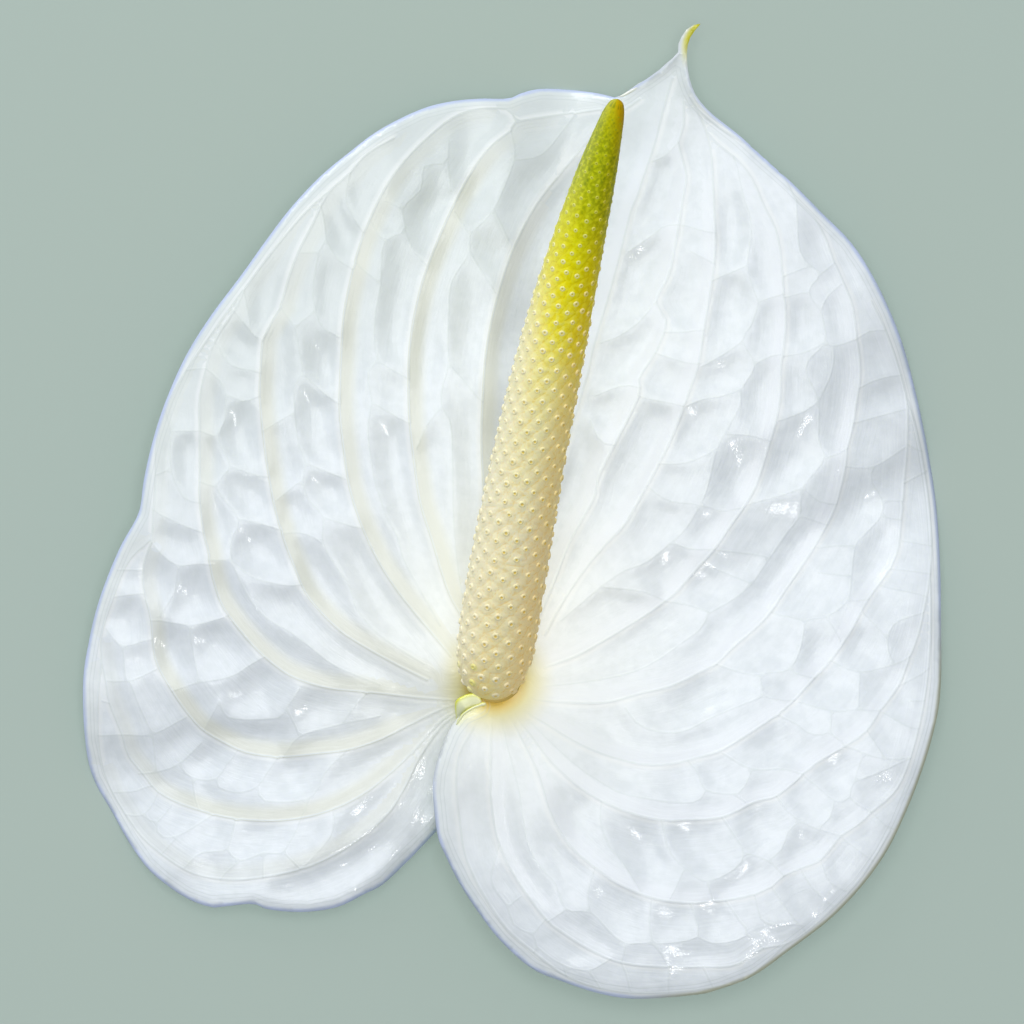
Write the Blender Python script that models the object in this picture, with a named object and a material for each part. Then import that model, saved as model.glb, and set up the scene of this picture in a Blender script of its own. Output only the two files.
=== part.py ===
"""An anthurium cut flower lying face up: a heart-shaped spathe, its spadix and a short cut stem.

Lengths are in millimetres until the meshes are made. X runs right, Y runs to the spathe's tip and Z up.
"""

import bpy
import numpy as np
from mathutils.geometry import delaunay_2d_cdt

# Driving dimensions
SPATHE_WIDTH = 150.0
DRAWN_WIDTH = 859.0
UNIT = SPATHE_WIDTH / DRAWN_WIDTH
SHEET_CENTRE = np.array([511.5, 511.0])
BASE = np.array([494.0, 680.0])
THICKNESS = 0.9
COLLAR_RADIUS = 3.9
COLLAR_HEIGHT = 8.5
FUNNEL_RADIUS = 14.0
DOME_POWER = 2.2
RIGHT_LOBE_LIFT = 3.4
LEFT_LOBE_DROP = 2.2
RIM_ROLL = 0.8
GROUND_LIFT = 1.275
TIP_LIFT = 3.0
HOLLOW_DEPTH = 1.6
HOLLOW_REACH = 3.2
NET_LEVEL = 0.15
NET_PULL = 3.0
RIB_HEIGHT = 0.3
RIB_WIDTH = 0.9

SPADIX_START = np.array([488.0, 697.0])
SPADIX_TIP = np.array([617.0, 100.0])
SPADIX_BOW = 12.0
SPADIX_HEIGHT = 14.9
SPADIX_RISE = 36.5
FLORETS_A_TURN = 11.5
FLORET_RELIEF = 0.5

STEM_RADIUS = 3.1
STEM_REACH = 44.0
STEM_HEADING = (81.0, -265.0)
STEM_CLEARANCE = 0.3

# The spathe's outline and veins as drawn, x to the right and y down, with ";" after each line.
# The outline runs from the tip down the right side into the notch, then from the notch up the left side.
OUTLINE = """
700.2 22.6, 696.5 27, 691.5 33, 688 40.5, 686.8 47, 686.5 56, 687 64, 688 72, 689.8 80, 693 89, 698 98,
712 113, 740 135, 765 158, 790 180, 820 210, 850 240, 870 270, 890 310, 905 350, 918 400, 928 450, 936 500,
940 560, 941 620, 941 680, 936 720, 920 775, 900 824, 883 856, 860 887, 830 918, 791 948, 753 975, 720 988,
696 994, 638 998, 600 993, 560 980, 530 967, 500 940, 480 915, 460 885, 445 855, 436 832, 432 790, 434 770,
440 750, 449 729, 461 713, 478 706;
474 740, 466 770, 457 798, 446 819, 432 835, 410 858, 385 883, 363 894, 338 906, 310 911, 287 911, 264 908,
252 903, 225 905, 210 906, 187 898, 164 883, 145 866, 126 839, 111 812, 92 778, 84 740, 82 680, 88 640,
95 610, 105 580, 120 545, 138 512, 143 480, 152 440, 165 400, 185 355, 210 315, 240 275, 265 240, 290 207,
320 175, 350 150, 380 128, 420 108, 450 100, 480 97, 508 97, 520 92, 540 87, 570 88, 600 92, 613 96,
622 93.5, 630.6 87.5, 638 82.5, 646 78, 653.6 72.7, 661 67.4, 666.6 62, 671 58.4, 675 55, 678.2 50.5,
677.9 45.2, 679.2 40.6, 683 33, 688 26.8, 694 23.6;
"""
LEFT_VEINS = """
490 700, 520 600, 555 480, 585 380, 594 343, 609 291, 620 250, 630 211, 638 192, 646 167, 654 144, 665 103,
673 77;
488 690, 482 600, 480 530, 483 500, 481 443, 482 400, 486 347, 497 296, 513 248, 535 205, 560 172, 598 128,
640 98;
478 680, 460 614, 447 589, 431 538, 420 503, 414 465, 409 420, 408 379, 409 347, 415 309, 423 277, 436 242,
454 202, 470 172, 489 146, 510 129, 514 121, 560 113, 600 108;
470 680, 451 656, 433 634, 411 608, 392 583, 376 557, 360 522, 349 487, 344 455, 340 423, 339 395, 341 347,
343 315, 349 283, 357 251, 366 226, 379 197, 392 175, 407 156, 427 136, 451 117, 475 108, 508 108, 514 121;
465 690, 427 679, 395 663, 366 647, 341 631, 321 612, 305 592, 293 564, 283 538, 274 506, 267 468, 262 430,
259 392, 260 369, 262 341, 269 325, 280 305, 288 277, 299 248, 312 223, 321 203, 331 188, 349 172, 366 153,
393 137;
462 698, 443 698, 411 696, 366 691, 331 688, 302 680, 283 671, 264 656, 248 640, 229 616, 219 599, 211 573,
208 551, 203 532, 199 500, 199 468, 199 430, 199 398, 206 366, 210 350, 219 331, 234 309, 243 290, 254 274,
280 240, 306 210, 331 188;
462 702, 443 707, 411 723, 379 739, 347 749, 315 753, 283 756, 251 753, 229 745, 203 730, 188 714, 170 688,
156 663, 152 643, 150 618, 143 589, 143 564, 151 538, 153 506, 155 474, 156 443, 165 408, 186 369, 219 322,
254 274;
463 706, 440 720, 414 749, 388 774, 363 793, 334 808, 302 817, 267 820, 229 817, 197 809, 175 801, 156 790,
143 774, 127 755, 121 734, 108 701, 105 680, 101 659, 101 633, 112 598, 128 560, 151 538;
466 709, 443 723, 420 755, 404 787, 388 812, 363 835, 334 854, 302 868, 264 876, 232 879, 200 875, 181 867,
159 852, 140 835, 125 814, 112 793, 101 765, 97 735, 97 700, 101 659;
"""
RIGHT_VEINS = """
520 660, 550 590, 570 540, 593 498, 598 476, 614 444, 638 396, 639 377, 655 352, 664 331, 665 317, 656 300,
668 275, 674 250, 678 227, 682 202, 686 176, 682 157, 678 141, 683 125, 684 100;
520 665, 544 634, 560 605, 576 580, 601 548, 623 525, 638 500, 646 486, 660 460, 674 431, 687 396, 698 364,
703 332, 709 297, 713 272, 715 243, 714 211, 713 186, 711 154, 706 130, 697 108, 690 96;
522 674, 544 667, 576 655, 608 637, 639 618, 665 600, 678 589, 700 564, 714 548, 732 522, 745 504, 757 482,
767 450, 776 419, 780 396, 781 364, 785 332, 785 307, 782 275, 780 250, 775 227, 764 205, 751 176, 735 157,
718 143, 706 130;
524 690, 534 699, 576 702, 608 701, 639 693, 671 685, 700 671, 716 663, 732 647, 751 631, 769 613, 783 592,
799 569, 813 548, 826 525, 836 503, 845 466, 847 447, 852 428, 856 403, 860 371, 856 332, 852 304, 843 281,
832 256, 824 234, 812 214, 796 199, 783 176, 754 148, 722 128, 697 108;
518 703, 525 712, 544 723, 576 742, 608 755, 639 763, 671 763, 703 755, 722 749, 751 731, 776 714, 794 699,
812 679, 831 659, 850 631, 867 600, 888 570, 898 548, 901 519, 903 500, 904 482, 907 444, 907 403, 901 374,
896 358, 885 329, 871 300;
512 708, 515 717, 531 736, 550 761, 576 784, 601 800, 630 812, 659 819, 687 819, 722 816, 754 801, 776 795,
802 774, 818 761, 847 744, 866 730, 880 710, 898 685, 907 663, 917 637, 923 612, 930 573, 931 532, 926 480,
916 430, 901 374;
504 711, 509 717, 518 733, 537 771, 550 812, 569 844, 595 867, 620 884, 652 897, 687 902, 719 900, 748 895,
770 886, 783 875, 799 868, 820 859, 840 836, 860 822, 871 811, 895 790, 910 757, 924 700, 930 640, 930 573;
491 714, 490 755, 491 803, 499 844, 515 876, 544 916, 563 932, 592 950, 623 962, 668 966, 703 966, 735 964,
761 948, 786 943, 807 930, 835 905, 862 875, 890 830;
480 716, 470 733, 459 755, 456 787, 459 819, 463 848, 471 870, 484 895, 506 927, 532 950, 566 975, 600 987,
638 992, 696 989, 745 977, 786 943;
"""
LEFT_NET = """
510 129, 513 159, 493 208, 469 234, 469 251, 451 280, 448 309, 447 341, 448 363, 442 385, 441 406, 450 423,
452 474, 454 538, 462 600;
513 159, 540 154, 560 132, 575 112;
493 208, 508 239;
454 211, 469 234;
469 251, 482 272, 495 292;
448 363, 465 382, 482 402;
441 406, 427 423, 416 448;
448 139, 445 161, 423 165, 420 188, 402 207, 404 229, 383 242, 380 283, 374 315, 374 347, 377 360, 368 369,
368 385, 371 401, 367 427, 369 449, 374 481, 385 513, 398 538, 404 560, 440 625;
447 161, 450 190;
402 207, 385 200;
404 229, 412 248, 425 264;
370 220, 383 242;
377 360, 392 369, 408 378;
371 401, 388 411, 409 423;
355 262, 380 283;
321 205, 325 239, 318 251, 312 290, 315 309, 321 325, 339 336;
349 172, 345 197, 353 216, 363 232;
325 239, 337 258, 352 267;
300 252, 318 251;
280 307, 294 326, 298 347, 301 372, 294 385, 294 411, 298 443, 305 462, 302 478, 307 497, 323 517, 322 541,
337 567, 349 586, 355 605, 372 628, 398 647, 424 663;
301 372, 315 385, 339 404;
305 462, 325 470, 345 478;
323 517, 341 522, 361 528;
294 326, 315 309;
262 430, 294 411;
275 500, 302 478;
283 532, 302 532, 322 541;
234 310, 251 331, 262 340;
206 366, 221 382, 225 392, 224 420, 217 436, 229 465, 216 486, 238 518, 231 538, 231 559, 248 596, 267 618,
290 631, 315 650, 337 666, 380 684;
215 340, 229 363, 260 371;
225 392, 242 400, 259 395;
200 430, 217 436;
229 465, 245 471, 267 477;
199 481, 216 486;
238 518, 258 522, 281 529;
208 559, 231 559;
231 559, 251 576, 277 583, 301 585;
251 331, 243 290;
170 430, 199 430;
186 369, 206 366;
170 430, 170 468, 184 497, 199 500;
155 474, 170 468;
165 408, 170 430;
153 510, 178 522, 203 532;
151 542, 165 557, 178 564, 209 562;
178 564, 173 592, 159 615;
151 618, 188 624, 210 620, 228 615;
189 624, 191 645, 199 681;
171 690, 197 682, 229 676, 251 663, 264 656;
219 700, 229 717, 277 717, 286 707, 299 688;
203 730, 219 700;
342 723, 349 712, 366 692;
283 756, 300 735, 342 723, 380 715;
286 707, 300 735;
117 569, 141 569;
114 596, 143 592;
105 628, 122 645, 151 637;
122 645, 125 680;
106 680, 129 680, 156 668;
129 680, 138 704, 152 733;
121 734, 152 733, 186 716;
138 773, 156 771, 178 763, 201 742;
152 733, 156 771;
179 764, 191 777, 215 778, 229 760, 239 750;
215 778, 219 787, 239 792, 258 785, 267 771, 277 757;
191 777, 197 809;
258 785, 264 800, 309 797, 325 771, 347 749;
309 797, 302 817;
113 792, 136 790, 150 783;
125 814, 143 814, 159 793;
143 814, 156 822, 172 803;
156 822, 159 835, 178 835, 212 814;
178 835, 162 852;
184 867, 200 852, 226 848, 235 819;
226 848, 239 860, 264 852, 283 851, 302 817;
219 877, 239 860;
283 851, 300 868;
264 852, 262 876;
334 808, 330 835, 302 868;
101 700, 108 701;
97 735, 121 734;
"""
RIGHT_NET = """
678 141, 665 154, 652 160;
678 222, 662 226, 652 234, 628 250;
678 222, 700 229, 715 232;
656 300, 639 320, 620 334, 600 342;
664 331, 684 331, 703 328;
638 385, 620 385, 594 395;
655 352, 680 360, 698 364;
614 444, 600 440, 590 420;
638 396, 660 400, 683 405;
735 157, 742 190, 751 224, 747 264, 754 291, 758 300, 751 323, 742 340, 754 364, 741 388, 740 403, 727 428,
716 449, 708 482, 700 503, 684 529, 671 541, 646 561, 623 570, 600 586, 560 620;
711 279, 729 272, 747 264;
758 300, 783 293;
700 366, 725 352, 742 340;
754 364, 767 356, 781 353;
686 405, 703 398, 722 395, 741 388;
660 463, 684 462, 703 455, 716 449;
727 433, 748 434, 770 440;
690 250, 713 262;
646 486, 670 500, 700 503;
700 503, 722 510, 742 506;
600 586, 640 590, 665 600;
671 541, 690 548, 714 548;
796 199, 799 248, 810 264, 820 273, 808 290, 820 310, 824 326, 824 342, 805 366, 818 400, 818 438, 824 458,
802 487, 799 514, 786 532, 769 557, 751 583, 732 599, 710 612, 700 628, 684 640, 662 656, 633 671, 592 680,
545 686;
783 275, 810 264;
784 296, 808 290;
820 273, 834 262;
820 310, 828 294, 841 283;
783 355, 802 352, 824 342;
824 342, 834 345, 856 338;
834 345, 831 371, 818 400;
778 420, 802 411, 818 400;
823 458, 847 449;
779 495, 802 487;
779 495, 748 503;
717 549, 751 553, 769 557;
665 600, 687 604, 710 612;
751 583, 720 570, 704 562;
799 514, 815 520, 827 524;
836 503, 818 500, 802 487;
885 329, 869 330, 856 338;
858 387, 875 379, 900 373;
853 422, 875 416, 905 408;
845 466, 874 465, 905 446;
874 465, 870 478, 882 500, 880 516, 866 532, 855 545, 851 576, 847 600, 826 616, 806 621, 800 647, 788 669,
761 674, 762 694, 741 704, 710 717, 684 730, 659 731, 638 723, 625 707;
882 500, 902 500;
880 516, 901 519;
813 548, 835 545, 855 545;
770 613, 789 616, 806 621;
847 600, 867 600;
716 663, 732 669, 751 674, 761 674;
788 669, 799 674, 814 677;
761 674, 762 694, 793 701;
818 572, 851 576;
826 616, 840 640;
904 482, 926 470;
907 444, 921 450;
907 403, 914 420;
923 612, 896 621, 887 637, 889 655, 895 663;
862 612, 887 637;
901 540, 931 545;
890 568, 930 573;
878 585, 926 595;
831 661, 859 671, 895 663, 909 656;
859 671, 858 709;
799 701, 831 710, 858 709, 879 710;
831 710, 828 731, 810 733, 796 723, 778 714;
828 731, 846 744;
722 752, 751 768, 781 768, 802 773;
751 768, 745 784, 734 793, 705 789, 698 774, 689 760;
705 789, 697 800, 671 801, 623 793, 601 782, 576 765, 550 742, 530 722;
734 793, 745 801;
802 774, 818 787, 834 800, 848 798, 853 782, 875 773, 910 757;
846 744, 863 752, 885 758, 910 757;
834 800, 828 819, 815 827;
776 795, 786 809, 799 820, 815 827, 840 835;
848 798, 871 811;
853 782, 863 752;
799 820, 788 830, 781 848, 768 860;
722 816, 732 832, 743 851, 735 867, 706 880, 684 867, 668 848, 662 820;
743 851, 768 860, 783 874;
706 880, 713 900;
601 800, 600 820, 608 844, 623 863, 640 890;
684 867, 670 897;
499 714, 509 755, 518 787, 521 806, 528 844, 541 867, 555 883, 566 908, 590 911, 608 929, 625 942, 652 943,
669 965;
590 911, 587 895, 593 868;
652 943, 649 921, 651 898;
652 943, 684 940, 698 934, 694 914, 690 902;
698 934, 710 942, 732 940, 748 932, 738 918, 726 900;
748 932, 761 948;
625 942, 623 962;
566 908, 548 920;
754 894, 764 921, 799 924, 807 930;
771 886, 786 908, 799 924;
820 859, 828 880, 845 890;
799 868, 815 890, 832 905;
840 836, 858 850, 872 860;
871 811, 885 825, 893 828;
499 844, 491 879, 507 905, 514 924, 533 934, 537 946, 563 964, 588 969, 610 958;
507 905, 521 895;
533 934, 544 917;
537 946, 532 950;
563 964, 566 975;
588 969, 600 987;
623 962, 630 990;
668 966, 668 990;
703 966, 712 985;
910 700, 924 700;
898 685, 928 670;
880 710, 905 725, 918 728;
866 730, 885 758;
"""

# Points of the rim as drawn, each with its height: it waves, and touches the ground at three of them.
RIM = """
446 819 4.3, 410 858 4.4, 338 906 5.8, 250 906 6.2, 164 883 3.6, 103 800 0.0, 82 680 4.5,
105 580 6.8, 138 512 8.4, 165 400 8.2, 240 275 8.8, 350 150 7.8, 480 97 4.0, 570 88 0.0, 625 97 2.2,
686 60 4.6, 697 98 5.0, 790 180 6.2, 870 270 5.4, 918 400 2.6, 930 480 0.0, 941 620 4.6, 920 775 7.8,
860 887 9.0, 791 948 9.4, 696 994 9.6, 600 993 9.8, 500 940 9.7, 445 855 9.7, 432 790 10.5, 449 729 11.5
"""

# Height of the ground between the collar and the rim, for each direction in degrees from the tip's.
CROWN = ((-165, 8.4), (-120, 8.0), (-80, 8.0), (-40, 8.0), (-10, 8.2), (12, 8.2), (35, 8.4),
         (70, 8.8), (110, 10.0), (150, 11.0), (200, 10.6), (240, 10.0))

# Share of the spadix's length and its radius there
SPADIX_PROFILE = ((0, 0), (0.004, 2.0), (0.014, 3.9), (0.037, 5.6), (0.079, 6.6), (0.129, 6.75),
                  (0.229, 6.7), (0.464, 6.15), (0.531, 5.95), (0.665, 5.3), (0.8, 4.25),
                  (0.883, 3.45), (0.928, 2.8), (0.953, 2.42), (0.976, 1.98), (0.9915, 1.35),
                  (0.997, 0.8), (1, 0))

# Spacing of the rows of florets along the spadix, at shares of its length
FLORET_ROWS = ((0, 1.7), (0.15, 1.75), (0.4, 2.0), (0.7, 1.6), (0.9, 1.3), (0.96, 0.9), (1, 0.5))

# The opening factor lays both lobes flat side by side, where they really overlap at the notch.
OPENING = 0.87
NOTCH_TURN = -2.58

PETAL_WHITE = (0.80, 0.83, 0.82, 1.0)
SPADIX_CREAM = (0.78, 0.68, 0.36, 1.0)
STEM_GREEN = (0.25, 0.38, 0.10, 1.0)


def lines(text):
    """The drawn lines in a block of text, each an array of points."""
    found = []
    for line in text.split(";"):
        numbers = line.replace(",", " ").split()
        if numbers:
            found.append(np.array(numbers, float).reshape(-1, 2))
    return found


def placed(drawn):
    """Drawn points as x and y in the part."""
    return (np.asarray(drawn) - SHEET_CENTRE) * UNIT * (1, -1)


def polar(drawn, right):
    """Distance from the base, and direction clockwise from straight up, past half a turn in either lobe."""
    across, up = ((np.asarray(drawn)[:, :2] - BASE) * UNIT * (1, -1)).T
    turn = np.arctan2(across, up)
    if right:
        turn = np.where(turn < -1.0, turn + 2 * np.pi, turn)
    else:
        turn = np.where(turn > 1.8, turn - 2 * np.pi, turn)
    return np.hypot(across, up), turn


def flat(distance, turn):
    """The point on the opened-out sheet."""
    return np.stack([distance * np.sin(turn * OPENING), distance * np.cos(turn * OPENING)], 1)


def unflat(sheet):
    """Distance and direction of points on the opened-out sheet."""
    turn = np.arctan2(sheet[:, 0], sheet[:, 1])
    return np.hypot(*sheet.T), np.where(turn < NOTCH_TURN, turn + 2 * np.pi, turn) / OPENING


def spline(points, step):
    """Points about a step apart on a smooth curve through the given ones."""
    ends = np.vstack([2 * points[0] - points[1], points, 2 * points[-1] - points[-2]])
    t = np.linspace(0, 1, 9)[:-1, None]
    pieces = []
    for a, b, c, d in zip(ends, ends[1:], ends[2:], ends[3:]):
        bend = (2 * a - 5 * b + 4 * c - d) * t**2 + (3 * b - a - 3 * c + d) * t**3
        pieces.append(0.5 * (2 * b + (c - a) * t + bend))
    fine = np.vstack([*pieces, points[-1:]])
    along = np.concatenate([[0], np.cumsum(np.linalg.norm(np.diff(fine, axis=0), axis=1))])
    at = np.linspace(0, along[-1], max(1, round(along[-1] / step)) + 1)
    return np.stack([np.interp(at, along, fine[:, i]) for i in range(fine.shape[1])], 1)


def waved(turn, turns, values):
    """Values between those of a table, level at each of its entries."""
    place = np.clip(np.searchsorted(turns, turn) - 1, 0, len(turns) - 2)
    share = np.clip((turn - turns[place]) / (turns[place + 1] - turns[place]), 0, 1)
    share = share * share * (3 - 2 * share)
    return values[place] * (1 - share) + values[place + 1] * share


def ramp(value, low, high):
    share = np.clip((value - low) / (high - low), 0, 1)
    return share * share * (3 - 2 * share)


def distance_to(points, starts, ends):
    """Distance from each point to the nearest of the straight pieces."""
    best = np.full(len(points), np.inf)
    for start, span in zip(starts, ends - starts):
        rel = points - start
        share = np.clip(rel @ span / max(span @ span, 1e-12), 0, 1)
        best = np.minimum(best, ((rel - share[:, None] * span) ** 2).sum(1))
    return np.sqrt(best)


RIM_TABLE = np.array(RIM.replace(",", " ").split(), float).reshape(-1, 3)


def rim_rows():
    """Direction, distance and height of the rim's table, from the left lobe's notch round to the right's."""
    distance, turn = polar(RIM_TABLE, False)
    right = np.arange(len(turn)) > 14
    _, far_turn = polar(RIM_TABLE, True)
    return np.where(right, far_turn, turn), distance, RIM_TABLE[:, 2]


def ground(distance, turn):
    """Height of the smooth spathe, with neither relief nor rolled rim."""
    turns, reach, heights = rim_rows()
    crown_turns, crowns = np.radians([row[0] for row in CROWN]), np.array([row[1] for row in CROWN])
    crown = waved(turn, crown_turns, crowns)
    share = distance / waved(turn, turns, reach)
    funnel = 1 - np.exp(-((distance / FUNNEL_RADIUS) ** 2))
    twist = RIGHT_LOBE_LIFT * ramp(turn, 1.2, 3.6) - LEFT_LOBE_DROP * ramp(-turn, 1.2, 2.7)
    twist = twist * ramp(distance, 2.0, 6.0)
    fall = np.clip(share, 0, 1.2) ** DOME_POWER
    height = COLLAR_HEIGHT + (crown - COLLAR_HEIGHT) * funnel + twist * (1 - fall)
    return height - (crown - waved(turn, turns, heights)) * fall


class Net:
    """Points and edges in which a point near an older one is that one."""

    def __init__(self):
        self.points = np.empty((0, 2))
        self.edges = {"rim": [], "main": [], "net": []}

    def add(self, points, kind, near):
        last = None
        for point in points:
            gaps = np.linalg.norm(self.points - point, axis=1)
            if len(gaps) and gaps.min() < near:
                index = int(gaps.argmin())
            else:
                index = len(self.points)
                self.points = np.vstack([self.points, point])
            if last is not None and index != last:
                self.edges[kind].append((last, index))
            last = index


def spathe_net(step, near):
    """The outline, the collar and the veins on the opened-out sheet, and the outline's two sides."""
    net = Net()
    sides = [flat(*polar(side, right)) for side, right in zip(lines(OUTLINE), (True, False))]
    start, end = unflat(np.array([sides[0][-1], sides[1][0]]))[1]
    collar = flat(np.full(24, COLLAR_RADIUS), np.linspace(start, end, 24))
    loop = np.vstack([spline(sides[0], step), collar, spline(sides[1], step)])
    net.add(np.vstack([loop, loop[:1]]), "rim", 0.5)
    for text, right, kind in ((LEFT_VEINS, False, "main"), (RIGHT_VEINS, True, "main"),
                              (LEFT_NET, False, "net"), (RIGHT_NET, True, "net")):
        for line in lines(text):
            distance, turn = polar(line, right)
            keep = distance > 5.5
            net.add(spline(flat(distance[keep], turn[keep]), step), kind, near)
    return net, sides


def spathe_sheet(net, step):
    """Triangles over the opened-out sheet whose edges follow the outline and the veins."""
    edges = [edge for kind in net.edges.values() for edge in kind]
    low, high = net.points.min(0), net.points.max(0)
    rows = []
    for i, y in enumerate(np.arange(low[1], high[1], step * 0.866)):
        x = np.arange(low[0] + (i % 2) * step / 2, high[0], step)
        rows.append(np.stack([x, np.full(len(x), y)], 1))
    grid = np.vstack(rows)
    gap = np.full(len(grid), np.inf)
    for point in net.points:
        gap = np.minimum(gap, np.linalg.norm(grid - point, axis=1))
    ends = net.points[np.array(edges)]
    grid = grid[(gap > 0.56 * step) & (distance_to(grid, ends[:, 0], ends[:, 1]) > 0.45 * step)]
    points = np.vstack([net.points, grid])
    found = delaunay_2d_cdt([tuple(p) for p in points], edges, [], 1, 1e-4)
    faces = np.array([tuple(f) for f in found[2]])
    used, faces = np.unique(faces, return_inverse=True)
    return np.array([tuple(p) for p in found[0]])[used], faces.reshape(-1, 3)


def bowls(faces, pull, level):
    """Depths drawn to a level at each vertex by its pull, and evened out between neighbours."""
    count = len(level)
    edges = np.sort(np.vstack([faces[:, [0, 1]], faces[:, [1, 2]], faces[:, [2, 0]]]), axis=1)
    a, b = np.unique(edges, axis=0).T
    around = np.bincount(a, minlength=count) + np.bincount(b, minlength=count)
    depth = level.copy()
    for _ in range(120):
        total = np.bincount(a, depth[b], count) + np.bincount(b, depth[a], count)
        depth = (total + pull * level) / (around + pull)
    return depth


def spathe_solid(step):
    """The sheet folded into the spathe, with its relief and thickness."""
    net, sides = spathe_net(step, 0.52 * step)
    sheet, faces = spathe_sheet(net, step)
    distance, turn = unflat(sheet)
    to_main, to_net = (distance_to(sheet, *net.points[np.array(net.edges[kind])].swapaxes(0, 1))
                       for kind in ("main", "net"))
    to_rim = distance_to(sheet, *(np.vstack([side[part] for side in sides])
                                  for part in (slice(None, -1), slice(1, None))))
    to_tip = np.linalg.norm(sheet - sides[0][0], axis=1)
    pull = np.full(len(sheet), 1.5 * (step / HOLLOW_REACH) ** 2)
    level = np.ones(len(sheet))
    on_net = to_net < 0.05
    pull[on_net], level[on_net] = NET_PULL, NET_LEVEL * ramp(to_main[on_net], 0.0, 3.0)
    held = (to_main < 0.05) | (to_rim < 1.5)
    pull[held], level[held] = 1e5, 0.0
    hollow = HOLLOW_DEPTH * bowls(faces, pull, level)
    hollow -= RIB_HEIGHT * np.exp(-((to_main / RIB_WIDTH) ** 2)) * ramp(to_rim, 2.0, 9.0)
    hollow = hollow * ramp(distance, 6.0, 16.0) * ramp(to_tip, 8.0, 26.0)
    middle = np.empty((len(sheet), 3))
    near_rim = -RIM_ROLL * np.exp(-to_rim / 0.9)
    near_rim += TIP_LIFT * np.exp(-to_rim / 1.5) * ramp(-to_tip, -26, -6)
    drift = 0.05
    middle[:, 0] = distance * np.sin(turn) + placed(BASE)[0]
    middle[:, 1] = distance * np.cos(turn) + placed(BASE)[1]
    middle[:, 2] = ground(distance, turn) + near_rim
    out = (ground(distance + drift, turn) - ground(distance - drift, turn)) / (2 * drift)
    about = (ground(distance, turn + 0.01) - ground(distance, turn - 0.01)) / (0.02 * distance)
    normal = np.stack([-out * np.sin(turn) - about * np.cos(turn), -out * np.cos(turn) + about * np.sin(turn),
                       np.ones(len(turn))], 1)
    normal /= np.linalg.norm(normal, axis=1)[:, None]
    middle -= normal * hollow[:, None]
    top, bottom = middle + normal * THICKNESS / 2, middle - normal * THICKNESS / 2
    ends = np.vstack([faces[:, [0, 1]], faces[:, [1, 2]], faces[:, [2, 0]]])
    known = {tuple(e) for e in ends}
    edge = np.array([e for e in ends if (e[1], e[0]) not in known])
    count = len(sheet)
    walls = np.vstack([np.stack([edge[:, 0], edge[:, 0] + count, edge[:, 1] + count], 1),
                       np.stack([edge[:, 0], edge[:, 1] + count, edge[:, 1]], 1)])
    return np.vstack([top, bottom]), np.vstack([faces, faces[:, ::-1] + count, walls])


def sweep_frames(path):
    """Two unit vectors across a path at each of its points."""
    along = np.gradient(path, axis=0)
    along /= np.linalg.norm(along, axis=1)[:, None]
    side = np.cross(along, (0.0, 0.0, 1.0) if abs(along[0][2]) < 0.9 else (1.0, 0.0, 0.0))
    side /= np.linalg.norm(side, axis=1)[:, None]
    return side, np.cross(side, along)


def spadix_axis(share):
    """Points of the spadix's bowed axis at shares of its length."""
    start, end = placed(SPADIX_START), placed(SPADIX_TIP)
    chord = end - start
    left = np.array([-chord[1], chord[0]]) / np.linalg.norm(chord)
    share = np.asarray(share)[:, None]
    plan = start + chord * share + left * SPADIX_BOW * UNIT * 4 * share * (1 - share)
    return np.hstack([plan, SPADIX_HEIGHT + SPADIX_RISE * share + 3.0 * share * (1 - share)])


def spadix_rows():
    """Share of the length at each turn of the floret spiral."""
    fine = spadix_axis(np.linspace(0, 1, 200))
    length = np.linalg.norm(np.diff(fine, axis=0), axis=1).sum()
    shares = [0.004]
    while shares[-1] < 0.99:
        shares.append(shares[-1] + np.interp(shares[-1], *zip(*FLORET_ROWS)) / length)
    return np.array(shares)


def spadix_point(share, angle, raised):
    shares, radii = zip(*SPADIX_PROFILE)
    radius = np.interp(share, shares, radii) + raised
    fine = np.linspace(0, 1, 400)
    axis = spadix_axis(fine)
    side, up = sweep_frames(axis)
    pick = [np.stack([np.interp(share, fine, v[:, i]) for i in range(3)], 1) for v in (axis, side, up)]
    return pick[0] + radius[:, None] * (pick[1] * np.cos(angle)[:, None] + pick[2] * np.sin(angle)[:, None])


def spadix_solid():
    """A spiral of diamond-shaped florets, each a low pyramid."""
    rows = spadix_rows()
    count = int((len(rows) - 1) * FLORETS_A_TURN)
    index = np.arange(count)
    share = np.interp(index / FLORETS_A_TURN, np.arange(len(rows)), rows)
    angle = 2 * np.pi * index / FLORETS_A_TURN
    corners = spadix_point(share, angle, np.zeros(count))
    left, right = int(FLORETS_A_TURN - 0.5), int(FLORETS_A_TURN + 0.5)
    first = np.arange(count - left - right)
    middle = (share[first] + share[first + left + right]) / 2
    relief = FLORET_RELIEF * np.clip((1 - middle) / 0.3, 0.0, 1.0)
    knobs = spadix_point(middle, angle[first], relief)
    knob = count + first
    around = [first, first + right, first + left + right, first + left]
    faces = [np.stack([b, a, knob], 1) for a, b in zip(around, around[1:] + around[:1])]
    ends = spadix_axis([0.0, 1.0])
    low, high = count + len(first), count + len(first) + 1
    for k in range(left + right):
        a, b = k % (left + right), (k + right) % (left + right)
        faces.append([[a, b, low]])
        faces.append([[count - 1 - a, count - 1 - b, high]])
    return np.vstack([corners, knobs, ends]), np.vstack(faces)


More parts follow.
